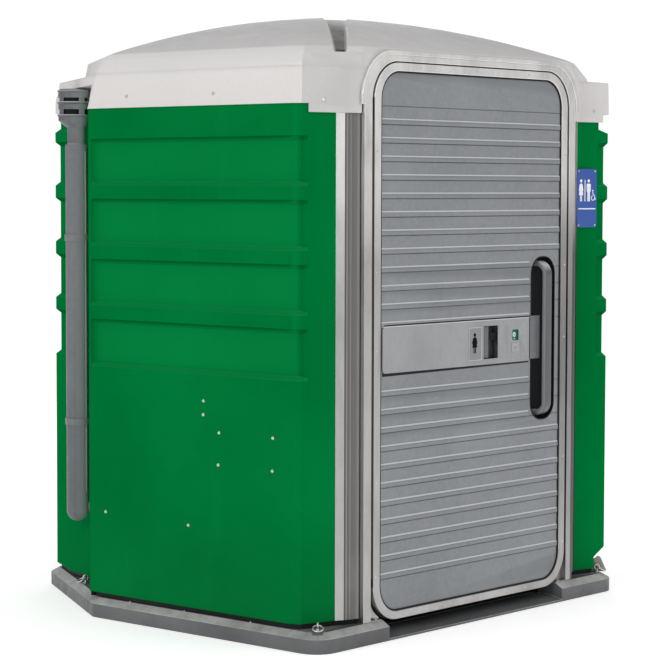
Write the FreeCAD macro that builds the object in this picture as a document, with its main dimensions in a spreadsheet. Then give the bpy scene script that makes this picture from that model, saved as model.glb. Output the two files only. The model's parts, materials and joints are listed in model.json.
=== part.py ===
import FreeCAD, Part
import Sketcher
import math
import os

# Portable toilet cabin, wheelchair-accessible size, millimetres, +Z up.
# Origin: centre of the base tray's footprint on the ground. The door faces -Y, +X is to the right of
# somebody who looks at the door.

V = FreeCAD.Vector
doc = FreeCAD.newDocument("toilet_cabin")
sheet = doc.addObject("Spreadsheet::Sheet", "dims")

# ---------------------------------------------------------------- driving dimensions
DIMS = [
    ("base_half_x", 923), ("base_half_y", 915), ("base_flange_top", 52), ("base_deck_top", 72),
    ("base_shoulder", 33), ("floor_top", 22), ("well_half_x", 855), ("threshold_half", 535),
    ("wall_bottom", 90), ("wall_top", 1960), ("wall_thick", 30), ("rib_depth", 19), ("rib_slope", 16),
    ("rib_pitch", 226.5), ("first_recess", 960),
    ("door_plane", 883), ("gap_half", 603), ("trim_half", 591), ("trim_bottom", 64), ("trim_top", 2079),
    ("stile_width", 38), ("rail_width", 30), ("trim_depth", 38), ("trim_radius", 135), ("gap_radius", 143),
    ("frame_half", 645), ("frame_top", 2105), ("frame_gap_top", 2083.5), ("frame_depth", 38),
    ("panel_face", 876), ("panel_back", 851), ("bead_height", 21), ("bead_proud", 3), ("bead_pitch", 66.3),
    ("plate_left", 537), ("plate_right", 351), ("plate_bottom", 963), ("plate_top", 1133),
    ("handle_low", 728), ("handle_high", 1366), ("cup_left", 362), ("cup_right", 520),
    ("bolt_height", 24), ("bolt_depth", 12),
    ("hinge_barrel_r", 4.5), ("hinge_pin_r", 2.0), ("hinge_x", 597), ("hinge_y", 878.5),
    ("pipe_r", 43.5), ("riser_r", 35), ("cap_r", 58), ("pipe_low", 318), ("sleeve_top", 1795),
    ("riser_top", 1862), ("cap_low", 1888), ("cap_high", 2005),
    ("roof_skirt_low", 1925), ("roof_ledge", 2052), ("roof_apex", 2290),
    ("tank_height", 430), ("tank_wall", 6), ("seat_thick", 22), ("seat_axis_y", 168), ("seat_axis_z", 462),
    ("seat_pin_r", 4.0), ("bar_r", 16), ("bar_height", 840), ("roll_r", 55), ("roll_core_r", 20),
    ("roll_width", 110), ("sign_width", 108), ("sign_height", 234), ("sign_thick", 2.5),
    ("ring_r", 18), ("ring_wire", 3),
]
for row, (name, value) in enumerate(DIMS, start=1):
    sheet.set("A%d" % row, name)
    sheet.set("B%d" % row, str(value))
    sheet.setAlias("B%d" % row, name)
doc.recompute()


def d(name):
    return float(getattr(sheet, name))


NODES = []


def node(obj, label):
    obj.Label = label
    NODES.append(obj)
    return obj


def put(obj, x, y, z, axis=None, angle=0.0):
    rot = FreeCAD.Rotation(V(*axis), angle) if axis else FreeCAD.Rotation()
    obj.Placement = FreeCAD.Placement(V(x, y, z), rot)
    return obj


def bind(obj, **links):
    for prop, expr in links.items():
        obj.setExpression(prop.replace("__", "."), expr)
    return obj


def box(x, y, z, lx, ly, lz, **links):
    o = doc.addObject("Part::Box", "Block")
    o.Length, o.Width, o.Height = lx, ly, lz
    put(o, x, y, z)
    bind(o, **links)
    return o


def cyl(x, y, z, r, h, axis=None, angle=0.0, **links):
    o = doc.addObject("Part::Cylinder", "Round")
    o.Radius, o.Height = r, h
    put(o, x, y, z, axis, angle)
    bind(o, **links)
    return o


def cone(x, y, z, r1, r2, h, axis=None, angle=0.0):
    o = doc.addObject("Part::Cone", "Taper")
    o.Radius1, o.Radius2, o.Height = r1, r2, h
    return put(o, x, y, z, axis, angle)


def torus(x, y, z, r1, r2, axis=None, angle=0.0, **links):
    o = doc.addObject("Part::Torus", "Ring")
    o.Radius1, o.Radius2 = r1, r2
    put(o, x, y, z, axis, angle)
    bind(o, **links)
    return o


def fuse(parts):
    if len(parts) == 1:
        return parts[0]
    o = doc.addObject("Part::MultiFuse", "Union")
    o.Shapes = parts
    o.Refine = True
    return o


def cut(base, tools):
    tool = fuse(tools) if isinstance(tools, list) else tools
    o = doc.addObject("Part::Cut", "Cut")
    o.Base, o.Tool = base, tool
    o.Refine = True
    return o


def group(parts):
    o = doc.addObject("Part::Compound", "Set")
    o.Links = parts
    return o


def plane_of(body, role):
    for f in body.Origin.OriginFeatures:
        if f.Role == role:
            return f
    raise RuntimeError("no plane " + role)


def rounded(points, radii):
    """Lines and arcs of a closed outline whose corners have the given radii."""
    n = len(points)
    if not isinstance(radii, (list, tuple)):
        radii = [radii] * n
    start, end, arcs = [None] * n, [None] * n, []
    for i in range(n):
        p0, p1, p2 = (V(*points[i - 1]), V(*points[i]), V(*points[(i + 1) % n]))
        a, b = (p0 - p1).normalize(), (p2 - p1).normalize()
        r = radii[i]
        if r <= 0:
            start[i] = end[i] = p1
            continue
        half = a.getAngle(b) / 2.0
        t = r / math.tan(half)
        s, e = p1 + a * t, p1 + b * t
        c = p1 + (a + b).normalize() * (r / math.sin(half))
        m = c + (p1 - c).normalize() * r
        start[i], end[i] = s, e
        arcs.append((s, m, e))
    geo = []
    for i in range(n):
        p, q = end[i - 1], start[i]
        if (p - q).Length > 1e-6:
            geo.append(Part.LineSegment(p, q))
        if radii[i] > 0:
            s, e = start[i], end[i]
            p0, p1, p2 = (V(*points[i - 1]), V(*points[i]), V(*points[(i + 1) % n]))
            a, b = (p0 - p1).normalize(), (p2 - p1).normalize()
            half = a.getAngle(b) / 2.0
            c = p1 + (a + b).normalize() * (radii[i] / math.sin(half))
            m = c + (p1 - c).normalize() * radii[i]
            geo.append(Part.Arc(s, m, e))
    return geo


def pts3(points):
    return [(p[0], p[1], 0) for p in points]


def add_outline(sk, points, radii=0):
    sk.addGeometry(rounded(pts3(points), radii), False)


def body_pad(loops, role, length, offset=0.0, reverse=False, length_expr=None, offset_expr=None, midplane=False):
    """A body with one sketch on an origin plane and one pad. loops: [(points, radii), ...]."""
    b = doc.addObject("PartDesign::Body", "Body")
    sk = b.newObject("Sketcher::SketchObject", "Outline")
    sk.AttachmentSupport = [(plane_of(b, role), "")]
    sk.MapMode = "FlatFace"
    if offset_expr:
        sk.setExpression("AttachmentOffset.Base.z", offset_expr)
    else:
        sk.AttachmentOffset = FreeCAD.Placement(V(0, 0, offset), FreeCAD.Rotation())
    for points, radii in loops:
        add_outline(sk, points, radii)
    pad = b.newObject("PartDesign::Pad", "Pad")
    pad.Profile = sk
    pad.Length = length
    if length_expr:
        pad.setExpression("Length", length_expr)
    pad.Reversed = reverse
    if midplane:
        pad.Midplane = True
    b.Tip = pad
    return b


def body_pocket(b, loops, role, length, offset=0.0, reverse=False, length_expr=None, midplane=False):
    doc.recompute()
    before = b.Shape.Volume
    sk = b.newObject("Sketcher::SketchObject", "Cutline")
    sk.AttachmentSupport = [(plane_of(b, role), "")]
    sk.MapMode = "FlatFace"
    sk.AttachmentOffset = FreeCAD.Placement(V(0, 0, offset), FreeCAD.Rotation())
    for points, radii in loops:
        add_outline(sk, points, radii)
    p = b.newObject("PartDesign::Pocket", "Pocket")
    p.Profile = sk
    p.Length = length
    if length_expr:
        p.setExpression("Length", length_expr)
    p.Reversed = reverse
    if midplane:
        p.Midplane = True
    b.Tip = p
    doc.recompute()
    if not (b.Shape.Volume < before - 1.0):
        raise RuntimeError("pocket cut nothing in " + b.Label)
    return b


def section(points, radii, z, expr=None):
    sk = doc.addObject("Sketcher::SketchObject", "Level")
    add_outline(sk, points, radii)
    sk.Placement = FreeCAD.Placement(V(0, 0, z), FreeCAD.Rotation())
    if expr:
        sk.setExpression("Placement.Base.z", expr)
    return sk


def loft(sections, ruled=True):
    o = doc.addObject("Part::Loft", "Loft")
    o.Sections = sections
    o.Solid = True
    o.Ruled = ruled
    return o


def offset_chain(chain, dist, ends=None):
    """Open polyline moved to its right-hand side by dist, mitred."""
    out = []
    n = len(chain)
    for i, p in enumerate(chain):
        dirs = []
        if i > 0:
            q = chain[i - 1]
            L = math.hypot(p[0] - q[0], p[1] - q[1])
            dirs.append(((p[0] - q[0]) / L, (p[1] - q[1]) / L))
        if i < n - 1:
            q = chain[i + 1]
            L = math.hypot(q[0] - p[0], q[1] - p[1])
            dirs.append(((q[0] - p[0]) / L, (q[1] - p[1]) / L))
        norms = [(dy, -dx) for dx, dy in dirs]
        if len(norms) == 1:
            nx, ny = norms[0]
            out.append((p[0] + nx * dist, p[1] + ny * dist))
        else:
            mx, my = norms[0][0] + norms[1][0], norms[0][1] + norms[1][1]
            k = dist / (1.0 + norms[0][0] * norms[1][0] + norms[0][1] * norms[1][1])
            out.append((p[0] + mx * k, p[1] + my * k))
    return out


def along(p, q, s):
    L = math.hypot(q[0] - p[0], q[1] - p[1])
    return (p[0] + (q[0] - p[0]) * s / L, p[1] + (q[1] - p[1]) * s / L)


def mirror_x(points):
    return [(-x, y) for x, y in points]


def inset_poly(points, dist):
    """Closed counter-clockwise outline moved inwards by dist, mitred."""
    closed = [points[-1]] + list(points) + [points[0]]
    return offset_chain(closed, -dist)[1:-1]


# ---------------------------------------------------------------- plan of the walls (proud faces)
RX = 893.0
A, B, C, D, E, F = (-RX, 272.0), (-RX, -733.0), (-876.0, -788.0), (-741.0, -831.0), (-709.0, -846.0), (-645.5, -866.0)
A2, B2, C2, D2, E2, F2 = (RX, 272.0), (RX, -859.0), (885.0, -873.0), (733.0, -832.0), (700.0, -848.0), (645.5, -866.0)
CH = (0.5417, 0.8406)      # direction of the rear-left corner face in plan, from A to the rear wall
NO = (-0.8406, 0.5417)     # its outward normal


def corner(s, depth, side=-1):
    """Point of a rear corner, s along its face from A, depth inwards. side 1 mirrors it to the right."""
    x = A[0] + CH[0] * s - NO[0] * depth
    y = A[1] + CH[1] * s - NO[1] * depth
    return (x if side < 0 else -x, y)


REAR_Y = corner(729, 12)[1]


def rear_vertex(depth, inset, side=-1, out=22.0):
    """Where the corner face at a depth meets the rear wall plane moved in by inset, swollen sideways by out."""
    y = REAR_Y - inset
    s = (y - A[1] + NO[1] * depth) / CH[1]
    x, y = corner(s, depth, side)
    return (x + side * out, y)


z0, z1 = d("wall_bottom"), d("wall_top")
depth, slope, pitch, first, thick = d("rib_depth"), d("rib_slope"), d("rib_pitch"), d("first_recess"), d("wall_thick")
# heights at which the skins change between their proud (P) and recessed (R) planes. S is the outline at the
# bottom, where the right front corner makes room for the tie-down, T the outline above the highest band.
LEVELS = [(z0, "S"), (137, "S"), (176, "P"), (first - slope / 2, "P"), (first + slope / 2, "R")]
for k in range(1, 4):
    under = first + pitch * k - 60.5
    LEVELS += [(under - slope / 2, "R"), (under + slope / 2, "P"),
               (under + 65 - slope / 2, "P"), (under + 65 + slope / 2, "R")]
LEVELS += [(1796, "R"), (1812, "P"), (1850, "P"), (1866, "T"), (z1, "T")]


def skin(outlines, inner):
    """Moulded wall skin: its outer outline per state, one inner line, lofted through all the levels."""
    secs = []
    for z, state in LEVELS:
        line = outlines.get(state, outlines["P"])
        ex = "dims.wall_bottom" if z == z0 else ("dims.wall_top" if z == z1 else None)
        secs.append(section(list(line) + list(reversed(inner)), 0, z, ex))
    return loft(secs)


def stepped(chain, flags, dist):
    moved = offset_chain(chain, dist)
    return [moved[i] if f else chain[i] for i, f in enumerate(flags)]


# left wall: straight side, small facet and the start of the angled front facet
def inner_line(main, sgn, f1, f2):
    """Inner line of a side wall: offset main corners, plus two points between C and D for the recess ends."""
    pts = offset_chain(main, sgn * thick)
    c_, d_ = pts[2], pts[3]
    mid = [(c_[0] + (d_[0] - c_[0]) * f, c_[1] + (d_[1] - c_[1]) * f) for f in (f1, f2)]
    x = pts[0][0]
    return [(x, 251.0), (x, 240.0), (x, 226.0), pts[1], pts[2]] + mid + pts[3:]


left_in = inner_line([A, B, C, D, E, F], -1, 0.12, 0.24)
left = [A, (-RX, 264.0), (-RX, 250.0), B, C, along(C, D, 18), along(C, D, 32), D]
node(skin({"P": left, "R": stepped(left, [0, 0, 1, 1, 1, 1, 0, 0], -depth)}, left_in[:8]), "wall_left")

right_in = inner_line([A2, B2, C2, D2, E2, F2], 1, 0.3, 0.4)
right_in[3], right_in[4] = (RX - thick, -800.0), (846.0, -818.0)
right_in[5], right_in[6] = (820.0, -820.5), (800.0, -815.5)
right = [A2, (RX, 264.0), (RX, 250.0), B2, C2, along(C2, D2, 40), along(C2, D2, 55), D2]
foot = right[:3] + [(RX, -808.0), (836.0, -857.4), (828.0, -855.4), (820.0, -853.5), D2]
crown = right[:3] + [(RX, -806.0), (840.0, -858.4), (834.0, -856.9), (826.0, -854.9), D2]
node(skin({"P": right, "R": stepped(right, [0, 0, 1, 1, 1, 1, 0, 0], 14.0), "S": foot, "T": crown},
          right_in[:8]), "wall_right")


def strip(outer, inner, label):
    return node(body_pad([(list(outer) + list(reversed(inner)), 0)], "XY_Plane", 1870,
                         offset_expr="dims.wall_bottom", length_expr="dims.wall_top - dims.wall_bottom"), label)


strip([D, E], left_in[7:9], "post_front_left")
strip([D2, E2], right_in[7:9], "post_front_right")
strip([E, F], [left_in[8], (-645.5, left_in[9][1])], "filler_strip_left")
strip([E2, F2], [right_in[8], (645.5, right_in[9][1])], "filler_strip_right")

# rear corner panels with a bay each; the vent pipe stands in the left one
BAY = 60.0
for side, label in ((-1, "corner_panel_left"), (1, "corner_panel_right")):
    base = [corner(14, 0, side), corner(14, BAY, side), corner(345, BAY, side), corner(480, 12, side),
            corner(505, 12, side)]
    inner = [corner(2, 0, side), corner(2, BAY + thick, side), corner(355, BAY + thick, side),
             corner(492, 12 + thick, side), corner(505, 12 + thick, side), corner(520, 12 + thick, side),
             rear_vertex(12 + thick, thick, side, 0.0)]
    outl = {}
    for state, dep, out in (("P", 0.0, 22.0), ("R", depth, 22.0), ("T", 6.0, 0.0)):
        outl[state] = base + [corner(520, 12 + dep, side), rear_vertex(12 + dep, dep, side, out)]
    panel_blank = skin(outl, inner)
    if side < 0:
        bore = cyl(0, 0, 0, 24.4, 220)
        bore.Placement = FreeCAD.Placement(V(*corner(310, 8), 372), FreeCAD.Rotation(V(0, 0, 1), V(-NO[0], -NO[1], 0)))
        panel_blank = cut(panel_blank, bore)
    node(panel_blank, label)

rear_outl = {}
for state, dep, out in (("P", 0.0, 22.0), ("R", depth, 22.0), ("T", 6.0, 0.0)):
    rear_outl[state] = [rear_vertex(12 + dep, dep, -1, out), rear_vertex(12 + dep, dep, 1, out)]
node(skin(rear_outl, [rear_vertex(12 + thick, thick, -1, 0.0), rear_vertex(12 + thick, thick, 1, 0.0)]), "wall_rear")

# ---------------------------------------------------------------- base tray
bx, by = d("base_half_x"), d("base_half_y")
base_pts = [(-bx, -by), (bx, -by), (bx, 228), (515, by), (-515, by), (-bx, 228)]
sh = d("base_shoulder")
base_blank = loft([section(base_pts, [85, 85, 40, 40, 40, 40], 0),
                   section(base_pts, [85, 85, 40, 40, 40, 40], 52, "dims.base_flange_top"),
                   section(inset_poly(base_pts, sh), [65, 65, 25, 25, 25, 25], 72, "dims.base_deck_top")])
wx, th2 = d("well_half_x"), d("threshold_half")
well_pts = [(-wx, -785), (-th2, -785), (-th2, -by - 6), (th2, -by - 6), (th2, -785), (wx, -785),
            (wx, 155), (411, 845), (-411, 845), (-wx, 155)]
well = body_pad([(well_pts, [80, 14, 0, 0, 14, 80, 30, 30, 30, 30])], "XY_Plane", 80, offset_expr="dims.floor_top")
lip = body_pad([([(-by - 6, 30), (-by - 6, 7), (-by + 62, 22), (-by + 62, 30)], 0)], "YZ_Plane",
               2 * th2, midplane=True, length_expr="2 * dims.threshold_half")
node(cut(base_blank, [well, lip]), "base_tray")

# black sill strip under the wall skins, standing on the tray's deck
sill = []
for line, sgn in (([(-646, -866), E, D, C, B, (-RX, 250)], 1), ([(646, -866), E2, D2, C2, B2, (RX, 250)], -1)):
    if sgn < 0:
        line = [(646, -866), E2, D2, (836, -857.4), (RX, -808), (RX, 250)]
    edges = []
    for dist in (9, 27):
        p_ = offset_chain(line, dist * sgn)
        t_ = (-sgn * 646.5 - p_[0][0]) / (p_[1][0] - p_[0][0])
        edges.append([(-sgn * 646.5, p_[0][1] + (p_[1][1] - p_[0][1]) * t_)] + p_[1:])
    pts = edges[0] + list(reversed(edges[1]))
    sill.append(body_pad([(pts, 0)], "XY_Plane", 18, offset_expr="dims.base_deck_top",
                         length_expr="dims.wall_bottom - dims.base_deck_top"))
ro = [corner(13, 4), corner(13, 62), corner(345, 62), corner(480, 20), rear_vertex(20, 9, -1, 10.0)]
ri = [corner(3, 4), corner(3, 80), corner(352, 80), corner(488, 38), rear_vertex(38, 27, -1, 10.0)]
rear_pts = ro + list(reversed(mirror_x(ro))) + mirror_x(ri) + list(reversed(ri))
sill.append(body_pad([(rear_pts, 0)], "XY_Plane", 18, offset_expr="dims.base_deck_top",
                     length_expr="dims.wall_bottom - dims.base_deck_top"))
node(group(sill), "wall_sill")

# floor panel lying in the tray
node(body_pad([([(-852, -782), (852, -782), (852, 153), (409, 842), (-409, 842), (-852, 153)],
                [78, 78, 28, 28, 28, 28])], "XY_Plane", 3, offset_expr="dims.floor_top"), "floor_panel")

# ---------------------------------------------------------------- door frame and trim
# Sketches on the XZ plane: their normal points to -Y, so an offset of +d puts them at y = -d.
fh, gh, ft, gt = d("frame_half"), d("gap_half"), d("frame_top"), d("frame_gap_top")


def arch(half, low, top, r_top, r_low=0.0):
    return ([(-half, low), (half, low), (half, top), (-half, top)], [r_low, r_low, r_top, r_top])


frame_loop = [(-fh, 72), (-fh, ft), (fh, ft), (fh, 72), (gh, 72), (gh, gt), (-gh, gt), (-gh, 72)]
frame = body_pad([(frame_loop, [0, 160, 160, 0, 0, d("gap_radius"), d("gap_radius"), 0])], "XZ_Plane", 38,
                 offset_expr="dims.door_plane - dims.frame_depth", length_expr="dims.frame_depth")


def soften(body, radius, y_face):
    """Rounds the edges of a flat body that lie in its front face."""
    doc.recompute()
    names = []
    for i, e in enumerate(body.Shape.Edges, start=1):
        bb = e.BoundBox
        if abs(bb.YMin - y_face) < 0.01 and abs(bb.YMax - y_face) < 0.01:
            names.append("Edge%d" % i)
    tip = body.Tip
    f = body.newObject("PartDesign::Fillet", "SoftEdge")
    f.Base = (tip, names)
    f.Radius = radius
    body.Tip = f
    doc.recompute()
    return body


node(soften(frame, 2.0, -d("door_plane")), "door_frame")
th, tb, tt, tr = d("trim_half"), d("trim_bottom"), d("trim_top"), d("trim_radius")
sw, rw = d("stile_width"), d("rail_width")
trim = body_pad([arch(th, tb, tt, tr, tr), arch(th - sw, tb + rw, tt - rw, tr - 32, tr - 32)], "XZ_Plane", 38,
                offset_expr="dims.door_plane - dims.trim_depth", length_expr="dims.trim_depth")
node(soften(trim, 2.5, -d("door_plane")), "door_trim")
node(body_pad([arch(th - sw - 0.3, tb + rw + 0.3, tt - rw - 0.3, tr - 32.3, tr - 32.3),
               arch(th - sw - 6, tb + rw + 6, tt - rw - 6, tr - 38, tr - 38)], "XZ_Plane", 4,
              offset_expr="dims.panel_face", length_expr="dims.door_plane - dims.panel_face - 3"), "door_bead")

# ---------------------------------------------------------------- door panel
panel = body_pad([arch(th - sw - 0.3, tb + rw + 0.3, tt - rw - 0.3, tr - 32.3, tr - 32.3)], "XZ_Plane", 25,
                 offset_expr="dims.panel_back", length_expr="dims.panel_face - dims.panel_back")


def bead_rows(z_top, count, tag, more=0):
    """Rows of raised horizontal beads right across the panel; the highest edge of the first row is at z_top."""
    hh, pr = d("bead_height"), d("bead_proud")
    y = -d("panel_face")
    sk = panel.newObject("Sketcher::SketchObject", "Bead" + tag)
    sk.AttachmentSupport = [(plane_of(panel, "YZ_Plane"), "")]
    sk.MapMode = "FlatFace"
    loop = [(y + 1, z_top), (y + 1, z_top - hh), (y, z_top - hh), (y - pr, z_top - hh + 0.6), (y - pr, z_top - 4.5),
            (y, z_top)]
    add_outline(sk, loop, 0)
    p = panel.newObject("PartDesign::Pad", "BeadPad" + tag)
    p.Profile = sk
    p.setExpression("Length", "2 * (dims.trim_half - dims.stile_width - 7)")
    p.Midplane = True
    panel.Tip = p
    doc.recompute()
    before = panel.Shape.Volume
    lp = panel.newObject("PartDesign::LinearPattern", "BeadRows" + tag)
    lp.Originals = [p]
    lp.Direction = (plane_of(panel, "Z_Axis"), [""])
    lp.setExpression("Length", "dims.bead_pitch * %d" % (count - 1))
    lp.Occurrences = count
    panel.Tip = lp
    doc.recompute()
    if panel.Shape.Volume < before + 1000:
        raise RuntimeError("bead pattern added nothing")
    # fine groove under every bead; a last one may end the plain field above the rows
    body_pocket(panel, [([(y - 4, z_top - hh), (y - 4, z_top - hh - 3), (y + 3, z_top - hh - 3), (y + 3, z_top - hh)],
                         0)], "YZ_Plane", 2 * (d("trim_half") - d("stile_width") - 7), midplane=True)
    lp = panel.newObject("PartDesign::LinearPattern", "GrooveRows" + tag)
    lp.Originals = [panel.Tip]
    lp.Direction = (plane_of(panel, "Z_Axis"), [""])
    lp.setExpression("Length", "dims.bead_pitch * %d" % (count - 1 + more))
    lp.Occurrences = count + more
    panel.Tip = lp
    doc.recompute()


bead_rows(1149.5, 12, "Upper", 1)
bead_rows(240.0, 11, "Lower")
cL, cR, hL, hH = d("cup_left"), d("cup_right"), d("handle_low"), d("handle_high")
pl, pr_, pb, pt = d("plate_left"), d("plate_right"), d("plate_bottom"), d("plate_top")


def rect(x0, zlo, x1, zhi):
    return [(x0, zlo), (x1, zlo), (x1, zhi), (x0, zhi)]


# the beads end at the field of the handle bay; the latch plate lies in a shallow seat
body_pocket(panel, [(rect(350, hL - 22, 556, hH + 22), 4)], "XZ_Plane", 8, offset=884)
body_pocket(panel, [(rect(-pl - 5, pb - 5, pr_ + 0.3, pt + 5), [20, 0, 0, 20])], "XZ_Plane", 12, offset=885)
# handle bay right through; room behind the finger slot, slot of the bolt's stem, channel of the indicator
body_pocket(panel, [(rect(cL, hL, cR, hH), 70)], "XZ_Plane", 60, offset=885)
body_pocket(panel, [(rect(59, 982, 154, 1111), 3)], "XZ_Plane", 29, offset=885)
body_pocket(panel, [(rect(68, 1034, 125, 1062), 2)], "XZ_Plane", 60, offset=885)
body_pocket(panel, [(rect(150, 1040, 352, 1098), 2)], "XZ_Plane", 19, offset=885)
node(panel, "door_panel")

# latch plate with its finger slot and indicator window, pictogram plate, key boss, bridging block
plate = body_pad([(rect(-pl, pb, pr_, pt), [16, 1, 1, 16]), (rect(61, 984, 152, 1109), 3),
                  (rect(243, 1047, 283, 1088), 2)], "XZ_Plane", 5, offset=873)
node(plate, "latch_plate")
node(body_pad([(rect(-32, 982, 48, 1107), 2)], "XZ_Plane", 1, offset=878), "pictogram_plate")
boss = body_pad([(rect(239, 1003, 285, 1037), 2)], "XZ_Plane", 1.5, offset=878)
keyhole = cyl(262, -874, 1020, 5, 12, (1, 0, 0), 90)
node(cut(boss, keyhole), "key_boss")
node(fuse([box(354.5, -881, 970, 62, 4.8, 167), box(362.8, -877, 972, 51, 41, 163)]), "latch_block")

# handle bay: a cup behind the opening of the panel, and the pull bar whose ends curve back into it
cup_o = body_pad([(rect(cL + 0.5, hL + 0.5, cR - 0.5, hH - 0.5), 69.5)], "XZ_Plane", 46, offset=832)
cup_i = body_pad([(rect(cL + 4, hL + 4, cR - 4, hH - 4), 66)], "XZ_Plane", 60, offset=836)
node(cut(cup_o, [cup_i, box(352, -890, 969.5, 63, 54.2, 168)]), "handle_cup")
prof = doc.addObject("Sketcher::SketchObject", "BarSection")
prof.addGeometry(rounded([(-22, -11, 0), (22, -11, 0), (22, 11, 0), (-22, 11, 0)], [9] * 4), False)
prof.Placement = FreeCAD.Placement(V(440, -836, hL + 28), FreeCAD.Rotation(V(1, 0, 0), 90))
path = doc.addObject("Sketcher::SketchObject", "BarPath")
yb, yf, ra, zl, zh = 836.0, 898.0, 42.0, hL + 28, hH - 28
path.addGeometry([Part.LineSegment(V(yb, zl, 0), V(yf - ra, zl, 0)),
                  Part.ArcOfCircle(Part.Circle(V(yf - ra, zl + ra, 0), V(0, 0, 1), ra), -math.pi / 2, 0),
                  Part.LineSegment(V(yf, zl + ra, 0), V(yf, zh - ra, 0)),
                  Part.ArcOfCircle(Part.Circle(V(yf - ra, zh - ra, 0), V(0, 0, 1), ra), 0, math.pi / 2),
                  Part.LineSegment(V(yf - ra, zh, 0), V(yb, zh, 0))], False)
path.Placement = FreeCAD.Placement(V(440, 0, 0), FreeCAD.Rotation(FreeCAD.Matrix(0, 0, -1, 0, -1, 0, 0, 0,
                                                                                 0, 1, 0, 0, 0, 0, 0, 1)))
doc.recompute()
bar = doc.addObject("Part::Sweep", "PullBar")
bar.Sections = [prof]
bar.Spine = (path, ["Edge%d" % (i + 1) for i in range(5)])
bar.Solid = True
bar.Frenet = False
node(bar, "pull_handle")

# ---------------------------------------------------------------- latch: bolt with paddle, indicator, guides, keeper
node(fuse([box(66, -829, 1036, 523, 12, 24, Width="dims.bolt_depth", Height="dims.bolt_height"),
           box(75, -864, 1040, 16, 36, 16), box(63.5, -870, 987, 38, 8, 119),
           cyl(300, -791, 1048, 17, 27, (1, 0, 0), 90)]), "latch_bolt")
node(fuse([box(102, -871, 1053, 130, 4, 30), box(214, -872.5, 1043, 100, 5, 50)]), "indicator_slide")
node(group([cut(box(x, -851, 1022, 24, 38, 52), box(x - 1, -829.5, 1035.5, 26, 13, 25)) for x in (160, 526)]),
     "bolt_guides")
node(cut(box(606, -845, 1020, 38, 37, 56), box(600, -832, 1033, 32, 18, 30)), "strike_keeper")
node(fuse([box(440, -832, 780, 22, 40, 18), box(440, -832, 922, 22, 40, 18), box(440, -800, 780, 22, 14, 160)]),
     "inner_pull")

# ---------------------------------------------------------------- continuous hinge on the left
hx, hy, hr, pn = -d("hinge_x"), -d("hinge_y"), d("hinge_barrel_r"), d("hinge_pin_r")
H0, HN, HL = 230.0, 8, 205.0
frame_k = [box(-603, hy + 5.2, H0, 1.8, 24, HL * HN)]
door_k = [box(-592.8, hy + 5.2, H0, 1.8, 24, HL * HN)]
for k in range(HN):
    zk = H0 + k * HL + 0.5
    barrel = cyl(hx, hy, zk, hr, HL - 1.0, Radius="dims.hinge_barrel_r")
    if k % 2 == 0:
        frame_k += [barrel, box(-603, hy - 2, zk, 4, 7.5, HL - 1.0)]
    else:
        door_k += [barrel, box(-595, hy - 2, zk, 4, 7.5, HL - 1.0)]
for parts, label in ((frame_k, "hinge_leaf_frame"), (door_k, "hinge_leaf_door")):
    node(cut(fuse(parts), cyl(hx, hy, H0 - 5, pn + 0.06, HL * HN + 10, Radius="dims.hinge_pin_r + 0.06")), label)
node(cyl(hx, hy, H0, pn, HL * HN, Radius="dims.hinge_pin_r"), "hinge_pin")

# ---------------------------------------------------------------- fasteners
FRONT = ((1, 0, 0), 90)
rv = []
for zz in (232, 573, 1047, 1330, 1760):
    rv += [cone(sx * (th - 14), -d("door_plane"), zz, 4.0, 2.6, 1.6, *FRONT) for sx in (-1, 1)]
for xx in (-330, 0, 330):
    rv += [cone(xx, -d("door_plane"), zz, 4.0, 2.6, 1.6, *FRONT) for zz in (tt - 15, tb + 15)]
node(group(rv), "trim_rivets")

gus, feet = [], []
for sx in (-1, 1):
    gus.append(cut(box(sx * 568.75 - 33.75, -862, 72, 67.5, 17, 127),
                   cyl(sx * 456, -840, 199, 143, 30, (1, 0, 0), 90)))
    feet.append(fuse([box(sx * 571.5 - 31, -881, 72, 62, 18.8, 3), cyl(sx * 564, -871.5, 74, 6, 6)]))
node(group(gus + feet), "frame_feet")

rv = []
for yy, zz in ((-328, 856), (-327, 806), (-406, 745), (-402, 628), (-669, 745), (-667, 627), (187, 403), (-250, 394)):
    rv.append(cone(-RX, yy, zz, 6.5, 3.8, 3.0, (0, 1, 0), -90))
    rv.append(cone(RX, yy, zz, 6.5, 3.8, 3.0, (0, 1, 0), 90))
sc = []
for x_, y_ in ((-886, 60), (-886, -226), (-886, -560), (886, 60), (886, -226), (886, -560)):
    sc.append(cone(x_ - (2.6 if x_ < 0 else -2.6), y_, 72, 4.4, 2.9, 3.0))
node(group(rv + sc), "shell_rivets")

# tie-down eye bolts on the deck of the tray and the loose ring that each one holds
TIES = {"front_left": ((-858.0, -852.0), (-0.7071, -0.7071)), "front_right": ((859.5, -856.7), (0.655, -0.7556)),
        "rear_left": (corner(290, 34), NO), "rear_right": (corner(290, 34, 1), (-NO[0], NO[1]))}
rr, rw_, tilt = d("ring_r"), d("ring_wire"), math.radians(25)
eyes = []
for key, ((x_, y_), (ox, oy)) in TIES.items():
    swing = V(oy, -ox, 0)
    eye = torus(0, 0, 0, 9.5, 3.5)
    eye.Placement = FreeCAD.Placement(V(x_, y_, 93), FreeCAD.Rotation(V(0, 0, 1), swing))
    eyes.append(fuse([cyl(x_, y_, 72, 12, 3), cyl(x_, y_, 72, 4.5, 12.5), eye]))
    out = V(ox * math.cos(tilt), oy * math.cos(tilt), -math.sin(tilt))
    ring = torus(0, 0, 0, rr, rw_, Radius1="dims.ring_r", Radius2="dims.ring_wire")
    ring.Placement = FreeCAD.Placement(V(x_, y_, 93) + out * rr, FreeCAD.Rotation(V(0, 0, 1), swing.cross(out)))
    node(ring, "tie_ring_" + key)
node(group(eyes), "eye_bolts")

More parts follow.
